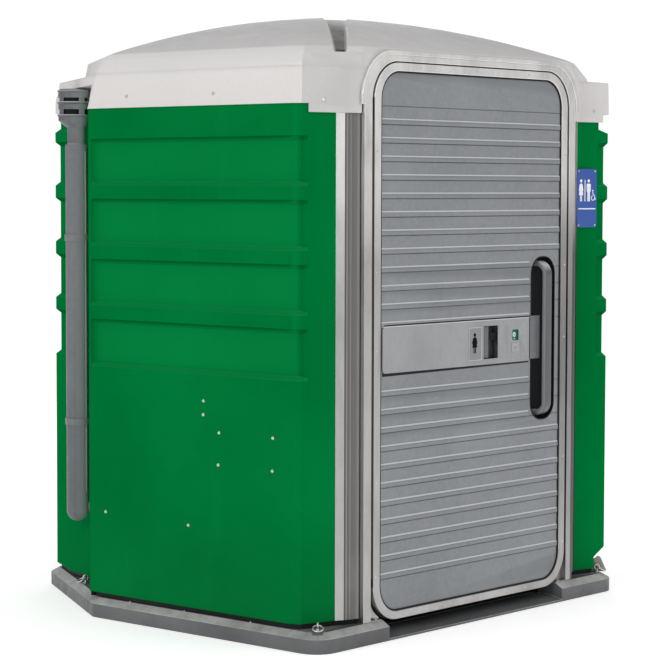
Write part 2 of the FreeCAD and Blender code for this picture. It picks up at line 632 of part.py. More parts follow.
# ---------------------------------------------------------------- vent pipe and cap in the rear-left bay
px, py = corner(310, 8)
cx, cy = corner(320, -2)
po, low_z, top_z = d("pipe_r"), d("pipe_low"), d("sleeve_top")
INW = V(-NO[0], -NO[1], 0)


def inward(x_, y_, z_, r, h):
    c_ = cyl(0, 0, 0, r, h)
    c_.Placement = FreeCAD.Placement(V(x_, y_, z_), FreeCAD.Rotation(V(0, 0, 1), INW))
    return c_


def ball(r, expr):
    s_ = doc.addObject("Part::Sphere", "PipeEnd")
    s_.Radius = r
    s_.setExpression("Radius", expr)
    return put(s_, px, py, low_z + po)


pipe_o = fuse([cyl(px, py, low_z + po, po, top_z - low_z - po, Radius="dims.pipe_r",
                   Height="dims.sleeve_top - dims.pipe_low - dims.pipe_r"), ball(po, "dims.pipe_r")])
pipe_i = fuse([cyl(px, py, low_z + po, po - 3.5, 1600, Radius="dims.pipe_r - 3.5"),
               ball(po - 3.5, "dims.pipe_r - 3.5")])
node(cut(pipe_o, [pipe_i, inward(px, py, 372, 20, 60)]), "vent_pipe")
riser = cut(fuse([cyl(px, py, top_z - 60, d("riser_r"), d("riser_top") - top_z + 60, Radius="dims.riser_r",
                      Height="dims.riser_top - dims.sleeve_top + 60"),
                  cone(px, py, top_z - 10, po - 3.6, d("riser_r"), 16)]),
            cyl(px, py, top_z - 70, d("riser_r") - 3, 200, Radius="dims.riser_r - 3"))
node(riser, "vent_riser")


def ringsec(x_, y_, z_, r):
    c_ = doc.addObject("Part::Circle", "Rim")
    c_.Radius = r
    return put(c_, x_, y_, z_)


flare = loft([ringsec(px, py, d("riser_top"), 37), ringsec(cx, cy, d("cap_low"), 58)])
flare_i = loft([ringsec(px, py, d("riser_top") - 0.5, 32), ringsec(cx, cy, d("cap_low") + 0.5, 53)])
capb = cyl(cx, cy, d("cap_low"), d("cap_r"), d("cap_high") - d("cap_low"), Radius="dims.cap_r",
           Height="dims.cap_high - dims.cap_low")
capt = cyl(cx, cy, d("cap_high") - 1, d("cap_r") - 6, 7)
cap_room = cyl(cx, cy, d("cap_low"), d("cap_r") - 5, d("cap_high") - d("cap_low") - 6, Radius="dims.cap_r - 5")
slots = []
for zz in (1908, 1953):
    for k in range(4):
        s_ = box(0, 0, 0, 80, 60, 24)
        turn = FreeCAD.Rotation(V(0, 0, 1), 90 * k + 38)
        s_.Placement = FreeCAD.Placement(V(cx, cy, zz) + turn.multVec(V(20, -30, 0)), turn)
        slots.append(s_)
node(cut(cut(fuse([flare, capb, capt]), flare_i), [cap_room] + slots), "vent_cap")
node(cut(inward(px - NO[0] * 30, py - NO[1] * 30, 372, 24, 110),
         [inward(px - NO[0] * 20, py - NO[1] * 20, 372, 20, 130), cyl(px, py, 300, po + 0.3, 160)]), "vent_elbow")
clips = []
for zz in (700, 1420):
    arm = box(0, 0, 0, 51.8, 30, 26)
    turn = FreeCAD.Rotation(V(0, 0, 1), math.degrees(math.atan2(INW.y, INW.x)))
    arm.Placement = FreeCAD.Placement(V(px, py, zz) + turn.multVec(V(0, -15, 0)), turn)
    clips.append(cut(fuse([cyl(px, py, zz, po + 4, 26), arm]), cyl(px, py, zz - 1, po + 0.1, 28)))
node(group(clips), "pipe_clips")

# ---------------------------------------------------------------- roof
ROOF = [(-900, 278), (-900, -736), (-882, -795), (-743, -839), (-712, -854), (-652, -874),
        (652, -874), (704, -856), (737, -841), (884, -877), (900, -858), (900, 278), (499, 887), (-499, 887)]


def roof_level(s, f, c, r, k, q):
    """Roof outline: s, f, c, r, q step its sides, front, front corners, side ends and rear corners in; k opens the
    ledge of the right front corner."""
    return [(-900 + s, 278 - r * 0.9), (-900 + s, -736 + c * 0.4), (-882 + s * 0.9 + c * 0.2, -795 + c * 0.7),
            (-743 + c * 0.5, -839 + f + c * 0.45), (-712 + c * 0.5, -854 + f + c * 0.3), (-652 + c * 0.3, -874 + f),
            (652 - c * 0.3, -874 + f), (704 - c * 0.5, -856 + f + c * 0.3), (737 - c * 0.5, -841 + f + c * 0.45),
            (884 - s * 0.5 - k * 1.15 - c * 0.2, -877 + f * 0.6 + c * 0.6 + k * 0.32),
            (900 - s, -858 + c * 0.5 + k), (900 - s, 278 - r * 0.9),
            (499 - q * 0.6, 887 - q * 0.75), (-499 + q * 0.6, 887 - q * 0.75)]


APEX = (0.0, -146.0)


def towards_apex(points, t):
    return [(x + (APEX[0] - x) * t, y + (APEX[1] - y) * t) for x, y in points]


RIM = [(1925, (0, 0, 0, 10, 0, 0)), (2052, (3, 0, 3, 60, 0, 18)), (2056, (6, 0, 8, 60, 88, 121)),
       (2066, (8, 0, 10, 62, 89, 124)), (2108, (40, 6, 44, 70, 90, 134)), (2130, (57, 12, 60, 80, 90, 138))]
CROWN = [(2130 + 160 * (1 - (1 - t) ** 1.94), t) for t in (0.07, 0.15, 0.25, 0.36, 0.48, 0.62, 0.78, 0.94)]
EXPR = {1925: "dims.roof_skirt_low", 2052: "dims.roof_ledge"}
shape_at = [(z, roof_level(*a)) for z, a in RIM] + [(z, towards_apex(roof_level(*RIM[-1][1]), t)) for z, t in CROWN]
shape_at[-1] = (d("roof_apex"), shape_at[-1][1])
outer = loft([section(pts, 0, z, EXPR.get(z)) for z, pts in shape_at])
skirt_room = loft([section(inset_poly(ROOF, 6.0), 0, 1915), section(inset_poly(ROOF, 6.0), 0, 1960, "dims.wall_top")])


def hollow(s, r, c, f, corner_y, q, g):
    """Outline of the roof's inside: sides, side ends, front corners, front and rear corners stepped in, all by g more."""
    return inset_poly([(-900 + s, 278 - r * 0.9), (-900 + s, -750 + c * 0.5), (-735 + c * 0.3, -828 + c * 0.6),
                       (-630, -850 + f), (630, -850 + f), (735 - c * 0.3, -828 + c * 0.6), (900 - s, corner_y),
                       (900 - s, 278 - r * 0.9), (499 - q * 0.6, 887 - q * 0.75), (-499 + q * 0.6, 887 - q * 0.75)], g)


inside = [(1950, hollow(0, 40, 0, 0, -790, 14, 28)), (2036, hollow(0, 56, 0, 0, -790, 18, 28)),
          (2044, hollow(14, 66, 10, 0, -720, 126, 16)), (2096, hollow(44, 78, 44, 4, -705, 138, 16)),
          (2118, hollow(62, 86, 60, 10, -695, 142, 16))]
inside += [(z - 12, towards_apex(hollow(62, 86, 60, 10, -695, 142, 16), t)) for z, t in CROWN]
void = loft([section(pts, 0, z) for z, pts in inside])
door_cut = body_pad([(rect(-gh, 1900, gh, gt), [0, 0, d("gap_radius"), d("gap_radius")])], "XZ_Plane", 130, offset=760)
arch_cut = body_pad([(rect(-fh - 0.5, 1900, fh + 0.5, ft + 0.5), [0, 0, 160.5, 160.5])], "XZ_Plane", 60, offset=836)


def bay_box(s0, s1, d0, d1, zlo, zhi):
    """Block along the rear-left corner face, from s0 to s1 along it and from depth d0 to d1 behind it."""
    o = box(0, 0, 0, s1 - s0, d1 - d0, zhi - zlo)
    turn = FreeCAD.Rotation(V(0, 0, 1), math.degrees(math.atan2(CH[1], CH[0])))
    x_, y_ = corner(s0, d1)
    o.Placement = FreeCAD.Placement(V(x_, y_, zlo), turn)
    return o


house = doc.addObject("Part::Common", "BayHouse")
house.Base = bay_box(-6, 404, -6, 85, 1960.2, 2024)
house.Tool = loft([section(inset_poly(roof_level(*a_), 1.5), 0, z) for z, a_ in RIM[:3]])
skirts = []
for line in ([along(C, D, 30), (-743, -839), (-712, -854), (-652, -874)], None):
    if line is None:
        line = [along((884, -877), (737, -841), 30), (737, -841), (704, -856), (652, -874)]
        inner = offset_chain(line, 5)
    else:
        line[0] = along((-882, -795), (-743, -839), 30)
        inner = offset_chain(line, -5)
    skirts.append(body_pad([(line + list(reversed(inner)), 0)], "XY_Plane", 32, offset=1894))
roof = cut(fuse([cut(cut(outer, skirt_room), void), house] + skirts),
           [arch_cut, door_cut, bay_box(4, 396, -70, 77, 1880, 2016)])
node(roof, "roof")
node(body_pad([([(-fh - 16, 1925), (-fh - 16, ft + 16), (fh + 16, ft + 16), (fh + 16, 1925), (fh + 0.6, 1925),
                 (fh + 0.6, ft + 0.6), (-fh - 0.6, ft + 0.6), (-fh - 0.6, 1925)],
                [0, 175, 175, 0, 0, 160.6, 160.6, 0])], "XZ_Plane", 12, offset=874), "roof_rim")

rs = [cone(-899.3, yy, 1966, 7, 4.5, 3.5, (0, 1, 0), -90) for yy in (-385, 60)]
rs += [cone(899.3, yy, 1966, 7, 4.5, 3.5, (0, 1, 0), 90) for yy in (-385, 60)]
back_tilt = V(0, 127, 13.5)                     # the rear skirt leans in by 13.5 mm over 127 mm of height
back_tilt.normalize()
for xx in (-300, 0, 300):
    c_ = cone(0, 0, 0, 7, 4.5, 3.5)
    c_.Placement = FreeCAD.Placement(V(xx, 887 - 13.5 * 41 / 127, 1966) + back_tilt * 0.05,
                                     FreeCAD.Rotation(V(0, 0, 1), back_tilt))
    rs.append(c_)
for p_, q_, s_, sgn in (((-882, -795), (-743, -839), 92, 1), ((884, -877), (737, -841), 80, -1)):
    mx_, my_ = along(p_, q_, s_)
    L_ = math.hypot(q_[0] - p_[0], q_[1] - p_[1])
    nrm = V(sgn * (q_[1] - p_[1]) / L_, -sgn * (q_[0] - p_[0]) / L_, 0)
    c_ = cone(0, 0, 0, 7, 4.5, 3)
    c_.Placement = FreeCAD.Placement(V(mx_, my_, 1938) + nrm * 0.05, FreeCAD.Rotation(V(0, 0, 1), nrm))
    rs.append(c_)
node(group(rs), "roof_screws")

# ---------------------------------------------------------------- sign on the right front facet
SL, SR = (721.5, -837.5), (827.0, -858.0)      # where its back meets the post and the facet
L2 = math.hypot(SR[0] - SL[0], SR[1] - SL[1])
ux, uy = (SR[0] - SL[0]) / L2, (SR[1] - SL[1]) / L2
sn = V(uy, -ux, 0)
SIGN_Z = 1474.0
plate0 = box(0, 0, 0, 108, 2.5, 234, Length="dims.sign_width", Width="dims.sign_thick", Height="dims.sign_height")
plate0.Placement = FreeCAD.Placement(V(SL[0], SL[1], SIGN_Z) + sn * d("sign_thick"),
                                     FreeCAD.Rotation(V(ux, uy, 0), sn * -1, V(0, 0, 1), "XYZ"))
doc.recompute()
sign = doc.addObject("Part::Fillet", "SignCorners")
sign.Base = plate0
sign.Edges = [(i, 12.0, 12.0) for i, e in enumerate(plate0.Shape.Edges, start=1) if abs(e.Length - 2.5) < 0.01]
node(sign, "sign_plate")
ss = []
for a_ in (9, 99):
    for zz in (SIGN_Z + 9, SIGN_Z + 225):
        c_ = cone(0, 0, 0, 4.2, 3.0, 1.6)
        c_.Placement = FreeCAD.Placement(V(SL[0] + ux * a_, SL[1] + uy * a_, zz) + sn * d("sign_thick"),
                                         FreeCAD.Rotation(V(0, 0, 1), sn))
        ss.append(c_)
node(group(ss), "sign_screws")

# ---------------------------------------------------------------- inside: tank, seat and lid
TT, tw = d("tank_height"), d("tank_wall")
tank_pts = [(-850, -285), (-180, -285), (-180, 560), (-588.5, 560), (-850, 154)]
tank_rad = [30, 60, 30, 20, 20]
tank = body_pad([(tank_pts, tank_rad)], "XY_Plane", 405, offset=25, length_expr="dims.tank_height - 25")
tank_room = body_pad([(inset_poly(tank_pts, tw), [r - tw for r in tank_rad])], "XY_Plane", 390, offset=25 + tw,
                     length_expr="dims.tank_height - 25 - 2 * dims.tank_wall")
SX, SY = -450.0, -60.0


def oval(hw, hl):
    r = min(hw, hl) * 0.98
    return ([(SX - hw, SY - hl), (SX + hw, SY - hl), (SX + hw, SY + hl), (SX - hw, SY + hl)], r)


mouth = body_pad([oval(118, 150)], "XY_Plane", 60, offset=TT - 30)
node(cut(tank, [tank_room, mouth, inward(px, py, 372, 24.4, 220)]), "waste_tank")
ay, az, sp = d("seat_axis_y"), d("seat_axis_z"), d("seat_pin_r")
XAX = ((0, 1, 0), 90)
seat = body_pad([oval(180, 215), oval(112, 145)], "XY_Plane", 22, offset=433.5, length_expr="dims.seat_thick")
lugs = []
for s_ in (-1, 1):
    lugs += [cyl(SX + s_ * 70 - 13, ay, az, 9, 26, *XAX), box(SX + s_ * 70 - 13, 138, 440, 26, ay - 138, az - 440)]
pads = [cyl(SX + a_, SY + b_, 430.3, 8, 4) for a_, b_ in ((-140, -60), (140, -60), (-130, 70), (130, 70))]
node(cut(fuse([seat] + lugs + pads), cyl(SX - 130, ay, az, sp + 0.08, 260, *XAX, Radius="dims.seat_pin_r + 0.08")),
     "seat_ring")
lid = body_pad([oval(184, 217)], "XY_Plane", 15, offset=457)
lugs = []
for s_ in (-1, 1):
    lugs += [cyl(SX + s_ * 100 - 12, ay, az, 9, 24, *XAX), box(SX + s_ * 100 - 12, 112, 457, 24, ay - 112, 14)]
relief = [box(SX + s_ * 70 - 15, 134, 450, 30, 40, 40) for s_ in (-1, 1)]
node(cut(cut(fuse([lid] + lugs), relief),
         cyl(SX - 130, ay, az, sp + 0.08, 260, *XAX, Radius="dims.seat_pin_r + 0.08")), "seat_lid")
node(group([cut(fuse([box(SX + s_ * 124 - 9, ay - 14, TT, 18, 28, az - TT), cyl(SX + s_ * 124 - 9, ay, az, 12, 18, *XAX)]),
                cyl(SX + s_ * 124 - 12, ay, az, sp + 0.02, 24, *XAX)) for s_ in (-1, 1)]), "seat_hinge_posts")
node(cyl(SX - 136, ay, az, sp, 272, *XAX, Radius="dims.seat_pin_r"), "seat_hinge_pin")


# ---------------------------------------------------------------- inside: grab bars, paper, hook
def grab(p0, p1, normal, stand, label):
    """Round bar with two returns to the wall; p0 and p1 are its ends on the wall's inner face."""
    zz, r, rb = d("bar_height"), d("bar_r"), 45.0
    n_ = V(normal[0], normal[1], 0)
    a_, b_ = V(p0[0], p0[1], zz), V(p1[0], p1[1], zz)
    u_ = (b_ - a_).normalize()
    k = rb * (1 - math.sqrt(0.5))
    pts = [a_ + n_ * 6, a_ + n_ * (stand - rb), a_ + n_ * stand + u_ * rb, b_ + n_ * stand - u_ * rb,
           b_ + n_ * (stand - rb), b_ + n_ * 6]
    wire = Part.Wire([Part.LineSegment(pts[0], pts[1]).toShape(),
                      Part.Arc(pts[1], a_ + n_ * (stand - k) + u_ * k, pts[2]).toShape(),
                      Part.LineSegment(pts[2], pts[3]).toShape(),
                      Part.Arc(pts[3], b_ + n_ * (stand - k) - u_ * k, pts[4]).toShape(),
                      Part.LineSegment(pts[4], pts[5]).toShape()])
    tube = doc.addObject("Part::Feature", "BarTube")
    tube.Shape = wire.makePipeShell([Part.Wire([Part.makeCircle(r, pts[0], n_)])], True, False)
    flanges = []
    for p_ in (a_, b_):
        c_ = cyl(0, 0, 0, 38, 6)
        c_.Placement = FreeCAD.Placement(p_, FreeCAD.Rotation(V(0, 0, 1), n_))
        flanges.append(c_)
    return node(fuse([tube] + flanges), label)


WI = -RX + thick
grab((WI, -330), (WI, 205), (1, 0), 76, "grab_bar_side")
grab((-410, REAR_Y - thick), (260, REAR_Y - thick), (0, -1), 76, "grab_bar_rear")

hyc, hzc, hxc = -537.5, 686.0, WI + 68.0
YAX = ((1, 0, 0), -90)
holder = cut(fuse([box(WI, hyc - 148, hzc - 74, 6, 296, 149), box(WI, hyc - 137.5, hzc - 30, 96, 8, 60),
                   box(WI, hyc + 129.5, hzc - 30, 96, 8, 60), box(WI, hyc - 137.5, hzc + 60, 100, 275, 6),
                   box(WI, hyc - 137.5, hzc - 30, 12, 8, 96), box(WI, hyc + 129.5, hzc - 30, 12, 8, 96)]),
             cyl(hxc, hyc - 140, hzc, 6.05, 280, *YAX))
node(holder, "paper_holder")
node(fuse([cyl(hxc, hyc - 137.5, hzc, 6, 275, *YAX), cyl(hxc, hyc - 124, hzc, 19.92, 248, *YAX)]), "paper_spindle")
node(group([cut(cyl(hxc, y_, hzc, 55, 110, *YAX, Radius="dims.roll_r", Height="dims.roll_width"),
                cyl(hxc, y_ - 1, hzc, 20, 112, *YAX, Radius="dims.roll_core_r")) for y_ in (hyc - 115, hyc + 5)]),
     "paper_rolls")
node(fuse([box(-WI - 6, -40, 1500, 6, 40, 70), box(-WI - 44, -26, 1512, 39, 12, 10), box(-WI - 44, -26, 1512, 9, 12, 34)]),
     "coat_hook")

# ---------------------------------------------------------------- write the parts
doc.recompute()
os.makedirs("parts", exist_ok=True)
for o in doc.Objects:
    if "Invalid" in o.State or "Error" in o.State:
        raise RuntimeError("object in error: %s (%s) %s" % (o.Label, o.TypeId, o.State))
for n in NODES:
    s = n.Shape
    if s.isNull() or not s.isValid() or s.Volume <= 0:
        raise RuntimeError("bad shape in " + n.Label)
    s.exportStep("parts/%s.step" % n.Label)
    bb = s.BoundBox
    print("%-22s %9.1f cm3  %d solids  x %.1f..%.1f  y %.1f..%.1f  z %.1f..%.1f" % (
        n.Label, s.Volume / 1000.0, len(s.Solids), bb.XMin, bb.XMax, bb.YMin, bb.YMax, bb.ZMin, bb.ZMax))
print("nodes", len(NODES))
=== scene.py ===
import json
import math

import bmesh
import bpy
from mathutils import Matrix, Vector, noise


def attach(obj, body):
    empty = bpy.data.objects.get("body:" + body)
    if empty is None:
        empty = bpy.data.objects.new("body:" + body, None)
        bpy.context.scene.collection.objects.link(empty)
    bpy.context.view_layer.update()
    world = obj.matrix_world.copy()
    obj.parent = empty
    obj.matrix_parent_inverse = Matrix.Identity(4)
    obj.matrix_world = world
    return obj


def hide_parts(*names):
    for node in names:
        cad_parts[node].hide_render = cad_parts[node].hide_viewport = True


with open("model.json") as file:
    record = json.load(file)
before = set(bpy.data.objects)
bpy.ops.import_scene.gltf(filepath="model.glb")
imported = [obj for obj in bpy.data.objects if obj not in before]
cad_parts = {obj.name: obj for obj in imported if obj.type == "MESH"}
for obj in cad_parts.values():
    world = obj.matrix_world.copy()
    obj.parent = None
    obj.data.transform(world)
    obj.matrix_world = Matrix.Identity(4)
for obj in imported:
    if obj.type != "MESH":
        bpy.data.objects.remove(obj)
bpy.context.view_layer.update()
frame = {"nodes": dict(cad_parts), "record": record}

NODES = frame["nodes"]
scene = bpy.context.scene
V = Vector


# ------------------------------------------------------------------ camera, at the photograph's viewing angle
def make_camera():
    a, e, r = math.radians(-49.1), math.radians(3.57), math.radians(0.15)
    back = V((math.sin(a) * math.cos(e), -math.cos(a) * math.cos(e), math.sin(e)))
    right = (-back).cross(V((0, 0, 1))).normalized()
    up = right.cross(-back).normalized()
    r2 = right * math.cos(r) + up * math.sin(r)
    u2 = up * math.cos(r) - right * math.sin(r)
    m = Matrix((r2, u2, back)).transposed().to_4x4()
    m.translation = V((-6.975, -6.219, 1.632))
    data = bpy.data.cameras.new("cam")
    data.sensor_width = 36.0
    data.lens = 2336.0 / 666.0 * 36.0
    data.clip_start, data.clip_end = 0.1, 150.0
    cam = bpy.data.objects.new("cam", data)
    scene.collection.objects.link(cam)
    cam.matrix_world = m
    scene.camera = cam


make_camera()


# ------------------------------------------------------------------ materials
def srgb(r, g, b):
    def lin(c):
        c /= 255.0
        return c / 12.92 if c <= 0.04045 else ((c + 0.055) / 1.055) ** 2.4
    return (lin(r), lin(g), lin(b), 1.0)


def mul(c, k):
    return (min(c[0] * k, 1), min(c[1] * k, 1), min(c[2] * k, 1), 1.0)


class Mat:
    """A Principled material whose colour, roughness and relief come from procedural nodes in object space."""

    def __init__(self, name):
        self.m = bpy.data.materials.new(name)
        self.m.use_nodes = True
        self.t = self.m.node_tree
        self.t.nodes.clear()
        self.out = self.n("ShaderNodeOutputMaterial")
        self.p = self.n("ShaderNodeBsdfPrincipled")
        self.link(self.p.outputs[0], self.out.inputs[0])
        self.tc = self.n("ShaderNodeTexCoord")
        self.bumps = None

    def n(self, kind, **props):
        node = self.t.nodes.new(kind)
        for k, v in props.items():
            setattr(node, k, v)
        return node

    def link(self, a, b):
        self.t.links.new(a, b)

    def set(self, **values):
        for k, v in values.items():
            self.p.inputs[k.replace("_", " ")].default_value = v
        return self

    def coords(self, scale=(1, 1, 1), rot=(0, 0, 0), loc=(0, 0, 0)):
        mp = self.n("ShaderNodeMapping")
        mp.inputs["Scale"].default_value = scale
        mp.inputs["Rotation"].default_value = rot
        mp.inputs["Location"].default_value = loc
        self.link(self.tc.outputs["Object"], mp.inputs[0])
        return mp.outputs[0]

    def noise(self, scale, detail=3.0, rough=0.55, stretch=(1, 1, 1), loc=(0, 0, 0), distortion=0.0):
        nz = self.n("ShaderNodeTexNoise")
        nz.inputs["Scale"].default_value = scale
        nz.inputs["Detail"].default_value = detail
        nz.inputs["Roughness"].default_value = rough
        nz.inputs["Distortion"].default_value = distortion
        self.link(self.coords(stretch, loc=loc), nz.inputs["Vector"])
        return nz.outputs[0]

    def ramp(self, fac, stops):
        r = self.n("ShaderNodeValToRGB")
        els = r.color_ramp.elements
        while len(els) < len(stops):
            els.new(0.5)
        for el, (pos, col) in zip(els, stops):
            el.position = pos
            el.color = col if isinstance(col, (tuple, list)) else (col, col, col, 1.0)
        self.link(fac, r.inputs[0])
        return r.outputs[0]

    def mapr(self, fac, a, b, c, e):
        m = self.n("ShaderNodeMapRange")
        self.link(fac, m.inputs[0])
        for i, v in zip((1, 2, 3, 4), (a, b, c, e)):
            m.inputs[i].default_value = v
        return m.outputs[0]

    def mix(self, fac, a, b, blend="MIX"):
        m = self.n("ShaderNodeMix", data_type="RGBA", blend_type=blend)
        for sock, v in ((m.inputs[0], fac), (m.inputs[6], a), (m.inputs[7], b)):
            if isinstance(v, (int, float)):
                sock.default_value = v
            elif isinstance(v, (tuple, list)):
                sock.default_value = v
            else:
                self.link(v, sock)
        return m.outputs[2]

    def math(self, op, a, b=0.0):
        m = self.n("ShaderNodeMath", operation=op)
        for sock, v in zip(m.inputs, (a, b)):
            if isinstance(v, (int, float)):
                sock.default_value = v
            else:
                self.link(v, sock)
        return m.outputs[0]

    def axis(self, which):
        s = self.n("ShaderNodeSeparateXYZ")
        self.link(self.tc.outputs["Object"], s.inputs[0])
        return s.outputs[which]

    def color(self, sock):
        self.link(sock, self.p.inputs["Base Color"])
        return self

    def rough(self, sock):
        self.link(sock, self.p.inputs["Roughness"])
        return self

    def bump(self, height, dist, strength=1.0):
        b = self.n("ShaderNodeBump")
        b.inputs["Strength"].default_value = strength
        b.inputs["Distance"].default_value = dist
        self.link(height, b.inputs["Height"])
        if self.bumps is not None:
            self.link(self.bumps, b.inputs["Normal"])
        self.bumps = b.outputs[0]
        self.link(self.bumps, self.p.inputs["Normal"])
        return self

    def tint(self, a, b):
        """Multiplies two colours."""
        x = self.n("ShaderNodeVectorMath")
        x.operation = "MULTIPLY"
        self.link(a, x.inputs[0])
        self.link(b, x.inputs[1])
        return x.outputs[0]

    def facing(self, x_, y_):
        """How far a surface faces one horizontal direction of the object."""
        d_ = self.n("ShaderNodeVectorMath")
        d_.operation = "DOT_PRODUCT"
        self.link(self.tc.outputs["Normal"], d_.inputs[0])
        d_.inputs[1].default_value = (x_, y_, 0.0)
        return d_.outputs["Value"]

    def normal_z(self):
        """How far a surface faces up (1) or down (-1)."""
        x = self.n("ShaderNodeSeparateXYZ")
        self.link(self.tc.outputs["Normal"], x.inputs[0])
        return x.outputs[2]

    def edge_wear_and_highlight(self, base, edge, amount=0.5, low=0.52, high=0.62):
        """Lightens or darkens the convex edges a little, broken up by noise: partly edge wear, partly painted highlight
        along the edges.
        """
        g = self.n("ShaderNodeNewGeometry")
        w = self.mapr(g.outputs["Pointiness"], low, high, 0.0, amount)
        w2 = self.math("MULTIPLY", w, self.noise(60, 4, 0.7))
        return self.mix(w2, base, edge)


def moulded_green():
    m = Mat("moulded_green")
    big = m.noise(1.3, 3, 0.5)
    col = m.ramp(big, [(0.30, srgb(0, 103, 46)), (0.50, srgb(0, 111, 51)), (0.72, srgb(0, 119, 57))])
    streak = m.noise(7, 4, 0.6, stretch=(1, 1, 0.12))
    col = m.mix(m.mapr(streak, 0.58, 0.80, 0.0, 0.30), col, srgb(8, 126, 64))
    dust = m.mapr(m.axis(2), 0.09, 0.45, 0.20, 0.0)
    dust = m.math("MULTIPLY", dust, m.noise(9, 5, 0.65))
    col = m.mix(dust, col, srgb(30, 100, 58))
    nz = m.normal_z()
    # painted shade on down-facing faces, the top edges of the recesses
    col = m.mix(m.mapr(nz, -0.10, -0.50, 0.0, 0.75), col, srgb(0, 84, 34))
    # painted highlight on upward-sloping faces, the tops of the ribs
    col = m.mix(m.math("MULTIPLY", m.mapr(nz, 0.15, 0.45, 0.0, 0.45), m.mapr(nz, 0.8, 0.95, 1.0, 0.0)), col, srgb(22, 140, 74))
    # painted light: the recessed panels of the side walls above about 0.96 m are lifted to a lighter green
    inner = m.math("MULTIPLY", m.mapr(m.math("ABSOLUTE", m.axis(0)), 0.888, 0.880, 0.0, 1.0), m.mapr(m.axis(2), 0.95, 0.98, 0.0, 1.0))
    inner = m.math("MULTIPLY", inner, m.math("MULTIPLY", m.mapr(m.math("ABSOLUTE", m.axis(0)), 0.862, 0.866, 0.0, 1.0), m.mapr(m.axis(1), 0.262, 0.270, 1.0, 0.0)))
    inner = m.math("MULTIPLY", inner, m.mapr(m.axis(1), -0.78, -0.76, 0.0, 0.42))
    col = m.mix(inner, col, srgb(10, 133, 66))
    m.color(m.edge_wear_and_highlight(col, srgb(24, 142, 76), 0.3))
    m.rough(m.mapr(m.noise(14, 4, 0.6), 0.3, 0.7, 0.40, 0.54))
    m.bump(m.noise(3.2, 2, 0.5), 0.0045)
    m.bump(m.noise(420, 2, 0.5), 0.00015)
    m.set(Specular_IOR_Level=0.0)
    return m.m


def moulded_grey(name, dark, mid, light, rough=(0.45, 0.62), grain=500, grain_d=0.0002, edge=None, edge_amt=0.5, spec=0.4):
    m = Mat(name)
    col = m.ramp(m.noise(3.1, 4, 0.6), [(0.28, dark), (0.5, mid), (0.74, light)])
    fine = m.noise(85, 3, 0.6)
    col = m.mix(m.mapr(fine, 0.35, 0.75, 0.0, 0.22), col, dark)
    m.color(m.edge_wear_and_highlight(col, edge or light, edge_amt))
    m.rough(m.mapr(m.noise(22, 4, 0.6), 0.3, 0.7, rough[0], rough[1]))
    m.bump(m.noise(grain, 2, 0.5), grain_d)
    m.set(Specular_IOR_Level=spec)
    return m.m


def tray_grey():
    m = Mat("tray_grey")
    col = m.ramp(m.noise(2.6, 4, 0.6), [(0.28, srgb(80, 82, 84)), (0.5, srgb(92, 94, 96)), (0.74, srgb(106, 107, 109))])
    scr = m.noise(34, 5, 0.7, stretch=(0.35, 0.35, 3.0))
    col = m.mix(m.mapr(scr, 0.62, 0.78, 0.0, 0.45), col, srgb(140, 140, 140))
    low = m.math("MULTIPLY", m.mapr(m.axis(2), 0.0, 0.05, 0.45, 0.0), m.noise(15, 4, 0.6))
    col = m.mix(low, col, srgb(54, 54, 54))
    nz = m.normal_z()
    # painted shade on the up-facing deck of the base
    top = m.math("MULTIPLY", m.mapr(nz, 0.90, 0.98, 0.0, 0.55), m.mapr(m.axis(2), 0.03, 0.05, 0.0, 1.0))
    col = m.mix(top, col, srgb(50, 51, 52))
    # painted highlight along the upward-sloping rim of the base, broken up by noise
    rim = m.math("MULTIPLY", m.mapr(nz, 0.12, 0.40, 0.0, 1.0), m.mapr(nz, 0.82, 0.95, 1.0, 0.0))
    rim = m.math("MULTIPLY", rim, m.mapr(m.noise(7, 4, 0.7), 0.35, 0.60, 0.45, 1.0))
    col = m.mix(rim, col, srgb(190, 190, 188))
    m.color(m.edge_wear_and_highlight(col, srgb(168, 168, 166), 0.5, 0.52, 0.60))
    m.rough(m.mapr(m.noise(25, 4, 0.6), 0.3, 0.7, 0.42, 0.62))
    m.bump(m.noise(9, 3, 0.5), 0.0015)
    m.bump(m.noise(380, 2, 0.5), 0.00022)
    m.set(Specular_IOR_Level=0.4)
    return m.m


def mulmix(m, col, f):
    x = m.n("ShaderNodeVectorMath")
    x.operation = "SCALE"
    m.link(col, x.inputs[0])
    x.inputs[3].default_value = f
    return x.outputs[0]


